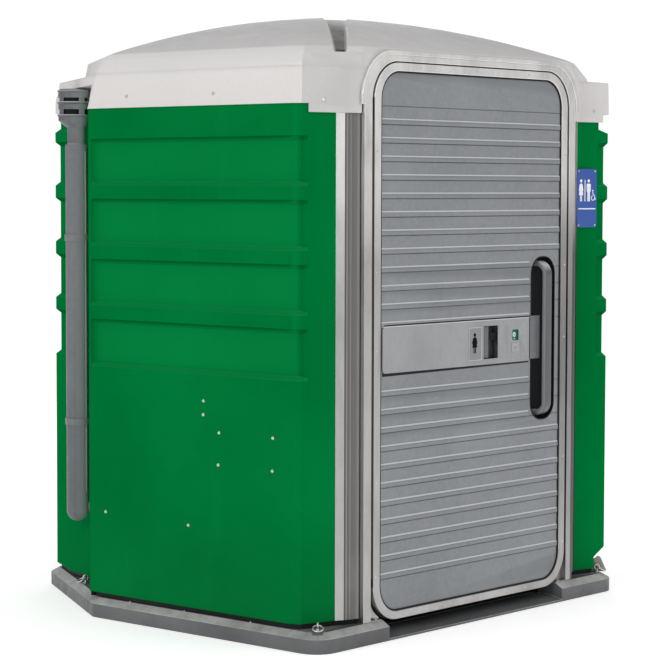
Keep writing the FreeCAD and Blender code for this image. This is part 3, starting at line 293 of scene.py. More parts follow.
def satin_aluminium(name="satin_aluminium", tone=(0.90, 0.885, 0.865), along="z"):
    m = Mat(name)
    st = (60, 60, 1.2) if along == "z" else (1.2, 60, 60)
    lines = m.noise(8, 3, 0.6, stretch=st)
    stain = m.noise(5.5, 5, 0.62, stretch=(1.5, 1.5, 0.55))
    base = tuple(tone) + (1.0,)
    col = m.ramp(stain, [(0.30, mul(base, 0.80)), (0.52, base), (0.75, mul(base, 1.08))])
    col = m.mix(m.mapr(lines, 0.45, 0.75, 0.0, 0.25), col, mul(base, 0.66))
    spots = m.noise(70, 3, 0.7)
    col = m.mix(m.mapr(spots, 0.66, 0.80, 0.0, 0.5), col, mul(base, 0.45))
    h = m.axis(2)
    # painted shade low down and painted light towards the top: the metal darkens with falling height
    low = m.ramp(m.mapr(h, 0.0, 2.1, 0.0, 1.0), [(0.0, (0.56,) * 3 + (1,)), (0.22, (0.50,) * 3 + (1,)), (0.50, (0.52,) * 3 + (1,)),
                                                 (0.66, (0.62,) * 3 + (1,)), (0.80, (0.88,) * 3 + (1,)), (1.0, (0.98,) * 3 + (1,))])
    col = m.tint(col, low)
    # painted shade: the metal right of x about 0.25 to 0.55 m is darker, most between about 0.8 m and 1.5 m height
    side = m.mapr(m.axis(0), 0.25, 0.55, 1.0, 0.0)
    side = m.math("MAXIMUM", side, m.mapr(h, 1.45, 1.70, 0.0, 1.0))
    side = m.math("MAXIMUM", side, m.mapr(h, 0.80, 0.10, 0.0, 0.8))
    col = m.mix(side, mulmix(m, col, 0.62), col)
    # painted shade: a dark strip on the outer edge of the right jamb, below about 1.4 m
    outer = m.math("MULTIPLY", m.mapr(m.axis(0), 0.629, 0.632, 0.0, 0.75), m.mapr(h, 1.36, 1.50, 1.0, 0.0))
    col = m.mix(outer, col, srgb(58, 58, 60))
    # the hinge side of the door's trim is in shade: its outer side wall is painted near-black there as painted shade in
    # the gap, and is not metallic
    painted_gap_shade = m.math("MULTIPLY", m.mapr(m.axis(0), -0.5920, -0.5915, 0.0, 1.0), m.mapr(m.axis(0), -0.5906, -0.5900, 1.0, 0.0))
    painted_gap_shade = m.math("MULTIPLY", painted_gap_shade, m.math("MULTIPLY", m.mapr(h, 0.18, 0.20, 0.0, 0.92), m.mapr(h, 1.95, 1.97, 1.0, 0.0)))
    col = m.mix(painted_gap_shade, col, srgb(20, 18, 18))
    metal = m.math("SUBTRACT", 1.0, painted_gap_shade)
    m.color(col)
    m.rough(m.mapr(m.noise(12, 4, 0.65, stretch=(1, 1, 0.4)), 0.3, 0.75, 0.30, 0.48))
    m.bump(lines, 0.00012)
    m.bump(m.noise(160, 3, 0.6), 0.00008)
    m.link(metal, m.p.inputs["Metallic"])
    return m.m


def strip_grey():
    """Extruded filler between the corner posts and the door frame: its fine lengthwise ridges are painted as bands of
    highlight and shade across it, with painted shade darkest at the edge next to the door frame.
    """
    m = Mat("strip_grey")
    x = m.math("ABSOLUTE", m.axis(0))
    across = m.math("ADD", m.math("MULTIPLY", x, -0.9535), m.math("MULTIPLY", m.axis(1), -0.3003))
    f = m.mapr(across, -0.422, -0.3554, 0.0, 1.0)
    tone = m.ramp(f, [(0.0, srgb(70, 68, 67)), (0.07, srgb(104, 101, 101)), (0.15, srgb(150, 146, 146)), (0.20, srgb(96, 94, 94)),
                      (0.32, srgb(112, 110, 109)), (0.37, srgb(140, 138, 137)), (0.42, srgb(104, 103, 101)),
                      (0.72, srgb(112, 112, 110)), (0.86, srgb(138, 136, 135)), (0.92, srgb(120, 117, 116)),
                      (0.965, srgb(40, 34, 34)), (1.0, srgb(18, 15, 15))])
    lines = m.noise(8, 3, 0.6, stretch=(60, 60, 1.0))
    tone = m.mix(m.mapr(lines, 0.45, 0.75, 0.0, 0.35), tone, srgb(84, 82, 82))
    stain = m.noise(5.5, 5, 0.62, stretch=(1.5, 1.5, 0.55))
    tone = m.mix(m.mapr(stain, 0.55, 0.8, 0.0, 0.3), tone, srgb(146, 144, 142))
    m.color(tone)
    m.rough(m.mapr(m.noise(12, 4, 0.65, stretch=(1, 1, 0.4)), 0.3, 0.75, 0.34, 0.5))
    m.bump(lines, 0.0002)
    m.set(Metallic=0.35, Specular_IOR_Level=0.3)
    return m.m


def steel(name="zinc_steel", tone=(0.62, 0.62, 0.61), rough=(0.22, 0.42)):
    m = Mat(name)
    base = tuple(tone) + (1.0,)
    col = m.ramp(m.noise(60, 4, 0.6), [(0.3, mul(base, 0.72)), (0.55, base), (0.8, mul(base, 1.2))])
    m.color(col)
    m.rough(m.mapr(m.noise(110, 4, 0.6), 0.3, 0.7, rough[0], rough[1]))
    m.bump(m.noise(420, 3, 0.6), 0.00006)
    m.set(Metallic=1.0)
    return m.m


def painted_shade_noise(m):
    return m.noise(30, 5, 0.7)


def roof_shell():
    m = Mat("roof_shell")
    h = m.axis(2)
    up = m.normal_z()
    # painted shade along the ledge near 2.05 m and painted light on the band above it where the skirt leans in
    tone = m.ramp(m.mapr(h, 1.89, 2.13, 0.0, 1.0),
                  [(0.0, srgb(207, 203, 202)), (0.62, srgb(212, 208, 207)), (0.68, srgb(202, 199, 198)), (0.72, srgb(216, 213, 212)),
                   (1.0, srgb(208, 206, 205))])
    # painted shade: up-facing parts of the crown darken towards the top
    dome = m.ramp(m.mapr(h, 2.125, 2.29, 0.0, 1.0),
                  [(0.0, srgb(186, 184, 183)), (0.3, srgb(176, 174, 174)), (0.7, srgb(162, 161, 161)), (1.0, srgb(154, 153, 152))])
    tone = m.mix(m.math("MULTIPLY", m.mapr(up, 0.68, 0.86, 0.0, 1.0), m.mapr(h, 2.10, 2.135, 0.0, 1.0)), tone, dome)
    cloud = m.noise(2.4, 4, 0.6)
    # painted shade on the front-facing skirt of the left front corner
    facet = m.math("MULTIPLY", m.mapr(m.facing(0.0, -1.0), 0.45, 0.90, 0.0, 0.85), m.mapr(m.axis(0), -0.70, -0.60, 1.0, 0.35))
    tone = m.mix(facet, tone, srgb(184, 183, 181))
    tone = m.mix(m.mapr(cloud, 0.35, 0.72, 0.0, 0.22), tone, srgb(196, 194, 192))
    # painted shade on the floor of the two front hip channels, darker towards their low ends, broken up by noise
    ax = m.math("ABSOLUTE", m.axis(0))
    yy = m.math("ADD", m.axis(1), 0.146)
    across = m.math("ADD", m.math("MULTIPLY", ax, 0.6909), m.math("MULTIPLY", yy, 0.7230))
    along_ = m.math("ADD", m.math("MULTIPLY", ax, 0.7230), m.math("MULTIPLY", yy, -0.6909))
    up_ = m.mapr(along_, 0.0, 0.9640, 1.0, 0.0)
    rear_side = m.math("SUBTRACT", m.math("ADD", 0.0155, m.math("MULTIPLY", up_, 0.010)), across)
    front_side = m.math("ADD", m.math("ADD", 0.0150, m.math("MULTIPLY", up_, 0.046)), across)
    gap = m.math("MINIMUM", rear_side, front_side)
    floor_ = m.math("MULTIPLY", m.mapr(gap, -0.009, 0.003, 0.0, 1.0), m.mapr(h, 2.1075, 2.112, 0.0, 1.0))
    floor_ = m.math("MULTIPLY", floor_, m.mapr(along_, 0.30, 0.62, 0.15, 1.0))
    tone = m.mix(floor_, tone, m.mix(m.mapr(painted_shade_noise(m), 0.35, 0.7, 0.0, 1.0), srgb(60, 58, 54), srgb(92, 89, 83)))
    dirt = m.noise(18, 5, 0.7)
    tone = m.mix(m.mapr(dirt, 0.60, 0.82, 0.0, 0.30), tone, srgb(176, 173, 167))
    m.color(m.edge_wear_and_highlight(tone, srgb(228, 226, 224), 0.3))
    m.rough(m.mapr(m.noise(12, 4, 0.6), 0.3, 0.7, 0.38, 0.54))
    m.bump(m.noise(5, 3, 0.5), 0.003)
    m.bump(m.noise(300, 2, 0.5), 0.0002)
    m.set(Specular_IOR_Level=0.3)
    return m.m


def door_grey():
    m = Mat("door_grey")
    col = m.ramp(m.noise(2.2, 4, 0.6), [(0.28, srgb(111, 114, 118)), (0.5, srgb(118, 121, 125)), (0.74, srgb(126, 129, 132))])
    scuff = m.noise(26, 5, 0.7, stretch=(0.5, 1, 2.4))
    col = m.mix(m.mapr(scuff, 0.60, 0.80, 0.0, 0.35), col, srgb(160, 162, 164))
    nz = m.normal_z()
    # painted highlight on up-facing faces, the tops of the beads
    up = m.math("MULTIPLY", m.mapr(nz, 0.18, 0.42, 0.0, 0.85), m.mapr(nz, 0.70, 0.92, 1.0, 0.0))
    col = m.mix(up, col, srgb(206, 208, 209))
    # painted shade inside the finger slot of the lock, lighter towards its left end
    slot = m.math("MULTIPLY", m.mapr(m.axis(0), 0.072, 0.100, 0.30, 0.95), m.mapr(m.axis(0), 0.156, 0.160, 1.0, 0.0))
    slot = m.math("MULTIPLY", slot, m.mapr(m.axis(0), 0.054, 0.057, 0.0, 1.0))
    slot = m.math("MULTIPLY", slot, m.math("MULTIPLY", m.mapr(m.axis(2), 0.978, 0.982, 0.0, 1.0), m.mapr(m.axis(2), 1.112, 1.116, 1.0, 0.0)))
    slot = m.math("MULTIPLY", slot, m.mapr(m.axis(1), -0.8755, -0.8745, 0.0, 1.0))
    col = m.mix(slot, col, srgb(16, 16, 18))
    # painted shade on down-facing faces, the undersides of the beads
    col = m.mix(m.mapr(nz, -0.25, -0.80, 0.0, 0.80), col, srgb(52, 54, 57))
    m.color(m.edge_wear_and_highlight(col, srgb(196, 198, 200), 0.25, 0.52, 0.60))
    m.rough(m.mapr(m.noise(18, 4, 0.6), 0.3, 0.7, 0.40, 0.56))
    m.bump(m.noise(6, 2, 0.5), 0.0010)
    m.bump(m.noise(520, 2, 0.5), 0.00018)
    m.set(Specular_IOR_Level=0.4)
    return m.m


def vent_grey():
    m = Mat("vent_grey")
    col = m.ramp(m.noise(3.1, 4, 0.6), [(0.28, srgb(92, 94, 98)), (0.5, srgb(102, 104, 109)), (0.74, srgb(112, 114, 119))])
    fine = m.noise(50, 4, 0.65, stretch=(1, 1, 0.3))
    col = m.mix(m.mapr(fine, 0.45, 0.75, 0.0, 0.3), col, srgb(84, 86, 90))
    turn = m.facing(0.656, -0.755)
    # painted highlight on faces turned towards +x and -y, painted shade on faces turned the other way
    col = m.mix(m.mapr(turn, -0.1, 0.9, 0.0, 0.75), col, srgb(186, 188, 194))
    col = m.mix(m.mapr(turn, -0.35, -1.0, 0.0, 0.6), col, srgb(66, 68, 72))
    nz = m.normal_z()
    # painted highlight on up-facing lips
    rim = m.math("MULTIPLY", m.mapr(nz, 0.20, 0.45, 0.0, 0.8), m.mapr(nz, 0.80, 0.95, 1.0, 0.0))
    col = m.mix(rim, col, srgb(196, 197, 200))
    m.color(m.edge_wear_and_highlight(col, srgb(150, 152, 156), 0.6))
    m.rough(m.mapr(m.noise(22, 4, 0.6), 0.3, 0.7, 0.34, 0.48))
    m.bump(m.noise(500, 2, 0.5), 0.0002)
    m.set(Specular_IOR_Level=0.35)
    return m.m


def handle_grey():
    m = Mat("handle_grey")
    col = m.ramp(m.noise(3.0, 3, 0.5), [(0.28, srgb(78, 80, 83)), (0.5, srgb(86, 88, 91)), (0.74, srgb(94, 96, 99))])
    turn = m.facing(0.656, -0.755)
    # painted highlight on faces turned towards -x and +y, painted shade on faces turned towards +x and -y
    col = m.mix(m.mapr(turn, 0.35, -0.55, 0.0, 0.75), col, srgb(150, 152, 154))
    col = m.mix(m.mapr(turn, 0.75, 1.0, 0.0, 0.6), col, srgb(52, 54, 56))
    nz = m.normal_z()
    # painted highlight on up-facing faces
    col = m.mix(m.mapr(nz, 0.25, 0.75, 0.0, 0.8), col, srgb(196, 197, 198))
    m.color(m.edge_wear_and_highlight(col, srgb(190, 192, 192), 0.5))
    m.rough(m.mapr(m.noise(9, 3, 0.5), 0.3, 0.7, 0.18, 0.28))
    m.bump(m.noise(600, 2, 0.5), 0.00003)
    m.set(Specular_IOR_Level=0.55)
    return m.m


def plate_grey():
    m = Mat("plate_grey")
    col = m.ramp(m.noise(4.0, 3, 0.6), [(0.28, srgb(136, 138, 141)), (0.5, srgb(146, 148, 151)), (0.74, srgb(156, 158, 160))])
    lines = m.noise(30, 4, 0.7, stretch=(6.0, 1, 0.35))
    col = m.mix(m.mapr(lines, 0.52, 0.78, 0.0, 0.4), col, srgb(120, 121, 124))
    # painted shade on the surfaces set back behind the plate's face, in its slot and pockets
    deep = m.math("MULTIPLY", m.mapr(m.axis(1), -0.8772, -0.8755, 0.0, 0.80), m.mapr(m.axis(1), -0.852, -0.848, 1.0, 0.0))
    col = m.mix(deep, col, srgb(30, 31, 33))
    m.color(m.edge_wear_and_highlight(col, srgb(190, 190, 190), 0.6, 0.51, 0.58))
    m.rough(m.mapr(m.noise(40, 4, 0.6), 0.3, 0.7, 0.34, 0.5))
    m.bump(lines, 0.0002)
    m.set(Specular_IOR_Level=0.45)
    return m.m


MATS = {
    "wall_green": moulded_green(),
    "base_grey": tray_grey(),
    "black_plastic": moulded_grey("black_plastic", srgb(20, 20, 22), srgb(28, 29, 31), srgb(38, 39, 41), spec=0.12),
    "floor_grey": moulded_grey("floor_grey", srgb(70, 72, 74), srgb(84, 86, 88), srgb(98, 100, 102), grain=260, grain_d=0.0006),
    "aluminium": satin_aluminium(),
    "strip_grey": strip_grey(),
    "door_grey": door_grey(),
    "plate_grey": plate_grey(),
    "pictogram": moulded_grey("label_grey", srgb(126, 128, 130), srgb(134, 136, 138), srgb(142, 144, 146), grain=900, grain_d=0.00005),
    "handle_grey": handle_grey(),
    "hinge_dark": moulded_grey("hinge_dark", srgb(40, 37, 34), srgb(54, 50, 46), srgb(78, 71, 63), rough=(0.4, 0.6), spec=0.15),
    "pull_grey": moulded_grey("pull_grey", srgb(84, 87, 90), srgb(92, 95, 98), srgb(100, 103, 106), rough=(0.16, 0.26), edge=srgb(186, 188, 188), grain_d=0.00003),
    "latch_grey": moulded_grey("latch_grey", srgb(84, 86, 88), srgb(94, 96, 98), srgb(104, 106, 108), rough=(0.3, 0.45)),
    "steel": steel(),
    "vent_grey": vent_grey(),
    "roof_white": roof_shell(),
    "sign_blue": moulded_grey("sign_blue", srgb(40, 74, 150), srgb(46, 82, 160), srgb(56, 92, 170), rough=(0.3, 0.42), grain=900, grain_d=0.00004, edge=srgb(110, 138, 200)),
    "tank_grey": moulded_grey("tank_grey", srgb(120, 122, 122), srgb(134, 136, 136), srgb(148, 150, 150)),
    "seat_grey": moulded_grey("seat_grey", srgb(52, 54, 56), srgb(62, 64, 66), srgb(76, 78, 80), rough=(0.28, 0.42)),
    "bar_steel": steel("brushed_bar", (0.66, 0.655, 0.64), (0.24, 0.36)),
    "holder_grey": moulded_grey("holder_grey", srgb(110, 112, 114), srgb(124, 126, 128), srgb(138, 140, 142)),
    "tissue": moulded_grey("tissue", srgb(214, 212, 206), srgb(226, 224, 219), srgb(236, 234, 230), rough=(0.8, 0.95), grain=700, grain_d=0.0006),
}


def indicator():
    m = Mat("indicator")
    x = m.axis(0)
    side = m.mapr(x, 0.2425, 0.2435, 0.0, 1.0)
    plain_end = m.mapr(x, 0.2045, 0.2055, 0.0, 1.0)
    col = m.mix(side, srgb(178, 34, 32), srgb(18, 112, 84))
    col = m.mix(plain_end, srgb(20, 20, 22), col)
    col = m.mix(m.mapr(m.noise(120, 3, 0.6), 0.4, 0.8, 0.0, 0.3), col, srgb(30, 60, 56))
    m.color(col)
    m.rough(m.mapr(m.noise(60, 3, 0.6), 0.3, 0.7, 0.4, 0.55))
    m.set(Specular_IOR_Level=0.08)
    return m.m


MATS["indicator"] = indicator()

SLOT_OF = {s["node"]: s["material_slot"] for s in frame["record"]["subparts"]}
for name, o in NODES.items():
    o.data.materials.clear()
    o.data.materials.append(MATS[{"latch_block": "pull_grey", "hinge_leaf_frame": "hinge_dark", "hinge_leaf_door": "hinge_dark",
                                  "hinge_pin": "hinge_dark"}.get(name, SLOT_OF[name])])


# ------------------------------------------------------------------ soft edges on the CAD pieces
def soften(name, width, segs=3, angle=28, dissolve=0.6, weld=0.00005):
    o = NODES[name]
    w = o.modifiers.new("weld", "WELD")
    w.merge_threshold = weld
    if dissolve:
        dz = o.modifiers.new("flat", "DECIMATE")
        dz.decimate_type = "DISSOLVE"
        dz.angle_limit = math.radians(dissolve)
    b = o.modifiers.new("edge", "BEVEL")
    b.width = width
    b.segments = segs
    b.limit_method = "ANGLE"
    b.angle_limit = math.radians(angle)
    b.miter_outer = "MITER_SHARP"
    b.use_clamp_overlap = True
    b.harden_normals = False
    wn = o.modifiers.new("normals", "WEIGHTED_NORMAL")
    wn.keep_sharp = False
    wn.weight = 60


def smooth(name, angle=35):
    o = NODES[name]
    w = o.modifiers.new("weld", "WELD")
    w.merge_threshold = 0.00003


for n_, w_ in (("wall_left", 0.006), ("wall_right", 0.006), ("corner_panel_left", 0.006), ("corner_panel_right", 0.006),
               ("wall_rear", 0.006), ("base_tray", 0.006), ("door_panel", 0.0007),
               ("post_front_left", 0.0012), ("post_front_right", 0.0012), ("filler_strip_left", 0.001),
               ("filler_strip_right", 0.001), ("roof_rim", 0.002), ("waste_tank", 0.008), ("seat_lid", 0.004),
               ("latch_block", 0.0012), ("inner_pull", 0.003), ("strike_keeper", 0.0012), ("latch_bolt", 0.0012),
               ("bolt_guides", 0.001), ("coat_hook", 0.0015), ("frame_feet", 0.001), ("latch_plate", 0.0008),
               ("wall_sill", 0.002), ("vent_cap", 0.0015), ("paper_holder", 0.0012), ("sign_plate", 0.0006)):
    soften(n_, w_)


# ------------------------------------------------------------------ modelled pieces
def mesh_piece(name, bm, mats, body="cabin", smooth=False):
    me = bpy.data.meshes.new(name)
    bm.normal_update()
    bm.to_mesh(me)
    bm.free()
    for mat in (mats if isinstance(mats, list) else [mats]):
        me.materials.append(mat)
    for poly in me.polygons:
        poly.use_smooth = smooth
    o = bpy.data.objects.new(name, me)
    scene.collection.objects.link(o)
    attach(o, body)
    return o


# roof: the skirt and the door arch come from the construction, the crown is a smooth shell with four hip channels
RIM0, RIM1, TIP = (40, 6, 44, 70, 90, 134), (57, 12, 60, 80, 90, 138), (0.0, -146.0)


def roof_ring(s, f, c, r, k, q):
    return [(-900 + s, 278 - r * 0.9), (-900 + s, -736 + c * 0.4), (-882 + s * 0.9 + c * 0.2, -795 + c * 0.7),
            (-743 + c * 0.5, -839 + f + c * 0.45), (-712 + c * 0.5, -854 + f + c * 0.3), (-652 + c * 0.3, -874 + f),
            (652 - c * 0.3, -874 + f), (704 - c * 0.5, -856 + f + c * 0.3), (737 - c * 0.5, -841 + f + c * 0.45),
            (884 - s * 0.5 - k * 1.15 - c * 0.2, -877 + f * 0.6 + c * 0.6 + k * 0.32),
            (900 - s, -858 + c * 0.5 + k), (900 - s, 278 - r * 0.9),
            (499 - q * 0.6, 887 - q * 0.75), (-499 + q * 0.6, 887 - q * 0.75)]


HIPS = (((-697.0, -812.0), 27.0, 35.0, 77.0), ((697.0, -812.0), 27.0, 77.0, 35.0), ((-630.0, 495.0), 40.0, 40.0, 40.0),
        ((630.0, 495.0), 40.0, 40.0, 40.0))


def channel(x, y, t):
    """How deep the hip channels are at a point of the crown; they widen towards the crown's top."""
    best = 0.0
    for (hx_, hy_), low_, up_l, up_r in HIPS:
        dx, dy = hx_ - TIP[0], hy_ - TIP[1]
        L = math.hypot(dx, dy)
        ux_, uy_ = dx / L, dy / L
        along_, across = (x - TIP[0]) * ux_ + (y - TIP[1]) * uy_, (x - TIP[0]) * -uy_ + (y - TIP[1]) * ux_
        if along_ <= 0:
            continue
        up_ = max(0.0, 1.0 - along_ / L)
        side = up_l if (across < 0) == (hy_ < 0) and hy_ < 0 else up_r
        half = low_ + (side - low_) * up_
        w = min(max((half - abs(across)) / 11.0, 0.0), 1.0)
        w = w * w * (3 - 2 * w)
        deep = (8.0 + 22.0 * max(0.0, 1.0 - abs(t - 0.08) / 0.60)) * min(along_ / 130.0, 1.0)
        best = max(best, deep * w)
    return best


def make_roof():
    src = NODES["roof"]
    bm = bmesh.new()
    bm.from_mesh(src.data)
    bm.transform(src.matrix_world)
    bmesh.ops.remove_doubles(bm, verts=bm.verts, dist=0.00005)
    bmesh.ops.dissolve_limit(bm, angle_limit=math.radians(0.03), verts=bm.verts, edges=bm.edges)
    bm.normal_update()
    gone = [f for f in bm.faces if min(v.co.z for v in f.verts) > 2.1075 and f.normal.z > 0.05]
    bmesh.ops.delete(bm, geom=gone, context="FACES")
    shell = mesh_piece("roof_skirt", bm, MATS["roof_white"])
    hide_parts("roof")
    for kind, props in (("BEVEL", {"width": 0.006, "segments": 3, "limit_method": "ANGLE", "angle_limit": math.radians(28),
                                   "miter_outer": "MITER_SHARP"}),
                        ("WEIGHTED_NORMAL", {"keep_sharp": False, "weight": 60})):
        md = shell.modifiers.new(kind.lower(), kind)
        for k_, v_ in props.items():
            setattr(md, k_, v_)

    L0, L1 = roof_ring(*RIM0), roof_ring(*RIM1)
    n = len(L0)
    fine = {2: 5.0, 3: 5.0, 4: 5.0, 6: 5.0, 7: 5.0, 8: 6.0, 9: 8.0, 11: 6.0, 13: 6.0}
    r0, r1 = [], []
    for i in range(n):
        a0, b0, a1, b1 = L0[i], L0[(i + 1) % n], L1[i], L1[(i + 1) % n]
        cnt = max(2, int(math.ceil(math.hypot(b0[0] - a0[0], b0[1] - a0[1]) / fine.get(i, 20.0))))
        for j in range(cnt):
            w = j / cnt
            r0.append((a0[0] + (b0[0] - a0[0]) * w, a0[1] + (b0[1] - a0[1]) * w))
            r1.append((a1[0] + (b1[0] - a1[0]) * w, a1[1] + (b1[1] - a1[1]) * w))
    m_ = len(r1)
    step = [math.hypot(r1[(i + 1) % m_][0] - r1[i][0], r1[(i + 1) % m_][1] - r1[i][1]) for i in range(m_)]
    pos = [0.0]
    for i in range(m_ - 1):
        pos.append(pos[-1] + step[i])
    total = pos[-1] + step[-1]
    wt_ = [(step[i - 1] + step[i]) / 2 for i in range(m_)]

    def blurred(sigma):
        out = []
        for i in range(m_):
            sx = sy = sw = 0.0
            for j in range(m_):
                dd = abs(pos[i] - pos[j])
                dd = min(dd, total - dd)
                if dd < 3 * sigma:
                    g = math.exp(-dd * dd / (2 * sigma * sigma)) * wt_[j]
                    sx, sy, sw = sx + r1[j][0] * g, sy + r1[j][1] * g, sw + g
            out.append((sx / sw, sy / sw))
        return out

    soft1, soft2 = blurred(34.0), blurred(110.0)
    rings = [(0.0, None)]
    levels = [-1.0, -0.8, -0.6, -0.4, -0.2, -0.08, 0.0, 0.012, 0.026] + [0.04 + 0.0125 * k for k in range(73)] + [0.955, 0.97, 0.985]
    bm = bmesh.new()
    grid = []
    for t in levels:
        row = []
        for i in range(m_):
            if t < 0:
                w = 1.0 + t
                x = r0[i][0] + (r1[i][0] - r0[i][0]) * w
                y = r0[i][1] + (r1[i][1] - r0[i][1]) * w
                z = 2108.0 + 22.0 * (w - 0.10 * w * w)
            else:
                a_ = min(t / 0.10, 1.0)
                b_ = min(max((t - 0.10) / 0.45, 0.0), 1.0)
                p1 = (r1[i][0] + (soft1[i][0] - r1[i][0]) * a_, r1[i][1] + (soft1[i][1] - r1[i][1]) * a_)
                px_, py_ = p1[0] + (soft2[i][0] - p1[0]) * b_, p1[1] + (soft2[i][1] - p1[1]) * b_
                x, y = px_ + (TIP[0] - px_) * t, py_ + (TIP[1] - py_) * t
                z = 2130.0 - 2.2 * math.exp(-t / 0.012) + 159.5 * (1 - (1 - t) ** 1.94)
            deep = channel(x, y, max(t, 0.0))
            if t <= -1.0:
                deep = 0.0
            z2 = max(z - deep, min(z, 2108.6))
            row.append(bm.verts.new((x / 1000, y / 1000, z2 / 1000)))
        grid.append(row)
    tip = bm.verts.new((TIP[0] / 1000, TIP[1] / 1000, 2.2895))
    for k in range(len(grid) - 1):
        for i in range(m_):
            j = (i + 1) % m_
            bm.faces.new((grid[k][i], grid[k][j], grid[k + 1][j], grid[k + 1][i]))
    for i in range(m_):
        bm.faces.new((grid[-1][i], grid[-1][(i + 1) % m_], tip))
    bmesh.ops.recalc_face_normals(bm, faces=bm.faces)
    if sum(f.normal.z for f in bm.faces) < 0:
        bmesh.ops.reverse_faces(bm, faces=bm.faces)
    mesh_piece("roof_crown", bm, MATS["roof_white"], smooth=True)


make_roof()


# rear skirt: upright down to the walls, then leaning in with the crown
def rear_at(z):
    w = min(max((z - 1925.0) / 127.0, 0.0), 1.0)
    s_, r_, q_ = 3.0 * w, 10 + 50.0 * w, 18.0 * w
    if z < 1966:
        r_, q_ = 10.0, 0.0
    elif z < 2022:
        k = (z - 1966) / 56.0
        k = k * k * (3 - 2 * k)
        r_, q_ = 10 + (r_ - 10) * k, q_ * k
    return (900 - s_, 278 - r_ * 0.9), (499 - q_ * 0.6, 887 - q_ * 0.75)


def rear_band(name, sgn, f0, f1, inset0, inset1):
    bm = bmesh.new()
    rows = []
    for z in (1925.2, 1945.0, 1966.0, 1980.0, 1994.0, 2008.0, 2022.0, 2036.0, 2050.0):
        (x0, y0), (x1, y1) = rear_at(z)
        x0, x1 = x0 * sgn, x1 * sgn
        L = math.hypot(x1 - x0, y1 - y0)
        tx, ty = (x1 - x0) / L, (y1 - y0) / L
        nx, ny = (ty, -tx) if sgn > 0 else (-ty, tx)
        row_o, row_i = [], []
        n_ = 14
        for k in range(n_ + 1):
            f = f0 + (f1 - f0) * k / n_
            trim_ = inset0 + (-inset1 - inset0) * k / n_
            bx, by = x0 + tx * (L * f + trim_), y0 + ty * (L * f + trim_)
            row_o.append(bm.verts.new(((bx + nx * 0.9) / 1000, (by + ny * 0.9) / 1000, z / 1000)))
            row_i.append(bm.verts.new(((bx - nx * 1.8) / 1000, (by - ny * 1.8) / 1000, z / 1000)))
        rows.append((row_o, row_i))
    for (ao, ai), (bo, bi) in zip(rows, rows[1:]):
        for k in range(len(ao) - 1):
            bm.faces.new((ao[k], ao[k + 1], bo[k + 1], bo[k]))
            bm.faces.new((ai[k + 1], ai[k], bi[k], bi[k + 1]))
        bm.faces.new((ai[0], ao[0], bo[0], bi[0]))
        bm.faces.new((ao[-1], ai[-1], bi[-1], bo[-1]))
    for o_, i_ in (rows[0], rows[-1]):
        for k in range(len(o_) - 1):
            bm.faces.new((o_[k], i_[k], i_[k + 1], o_[k + 1]))
    bmesh.ops.recalc_face_normals(bm, faces=bm.faces)
    mesh_piece(name, bm, MATS["roof_white"], "cabin")


rear_band("skirt_rear_right", 1, 0.0, 1.0, 0.6, 0.6)
rear_band("skirt_rear_left", -1, 0.556, 1.0, 0.0, 0.6)


# flat raised figures
def prism(bm, loop, origin, u, n_, thick, up=V((0, 0, 1))):
    lo = [bm.verts.new(origin + u * a + up * b) for a, b in loop]
    hi = [bm.verts.new(v.co + n_ * thick) for v in lo]
    bm.faces.new(lo)
    bm.faces.new(list(reversed(hi)))
    for i in range(len(lo)):
        j = (i + 1) % len(lo)
        bm.faces.new((lo[i], hi[i], hi[j], lo[j]))


def disc(cx_, cz_, rx, rz=None, cnt=28):
    rz = rz or rx
    return [(cx_ + rx * math.cos(2 * math.pi * k / cnt), cz_ + rz * math.sin(2 * math.pi * k / cnt)) for k in range(cnt)]


def ring_loops(cx_, cz_, r_out, r_in, a0=0.0, a1=360.0, cnt=28):
    """Quads of a flat ring or part of one."""
    out = []
    for k in range(cnt):
        t0, t1 = (math.radians(a0 + (a1 - a0) * v / cnt) for v in (k, k + 1))
        out.append([(cx_ + r_in * math.cos(t0), cz_ + r_in * math.sin(t0)), (cx_ + r_out * math.cos(t0), cz_ + r_out * math.sin(t0)),
                    (cx_ + r_out * math.cos(t1), cz_ + r_out * math.sin(t1)), (cx_ + r_in * math.cos(t1), cz_ + r_in * math.sin(t1))])
    return out


def round_rect(x0, z0, x1, z1, r, cnt=5):
    out = []
    for cx_, cz_, st in ((x1 - r, z0 + r, -90), (x1 - r, z1 - r, 0), (x0 + r, z1 - r, 90), (x0 + r, z0 + r, 180)):
        for k in range(cnt + 1):
            t = math.radians(st + 90.0 * k / cnt)
            out.append((cx_ + r * math.cos(t), cz_ + r * math.sin(t)))
    return out


def frame_loops(x0, z0, x1, z1, w):
    return [[(x0, z0), (x1, z0), (x1, z0 + w), (x0, z0 + w)], [(x0, z1 - w), (x1, z1 - w), (x1, z1), (x0, z1)],
            [(x0, z0 + w), (x0 + w, z0 + w), (x0 + w, z1 - w), (x0, z1 - w)], [(x1 - w, z0 + w), (x1, z0 + w), (x1, z1 - w), (x1 - w, z1 - w)]]


def raised(name, loops, origin, u, n_, thick, mat, body):
    bm = bmesh.new()
    for lp_ in loops:
        prism(bm, [(a / 1000, b / 1000) for a, b in lp_], origin, u, n_, thick)
    bmesh.ops.recalc_face_normals(bm, faces=bm.faces)
    return mesh_piece(name, bm, mat, body)


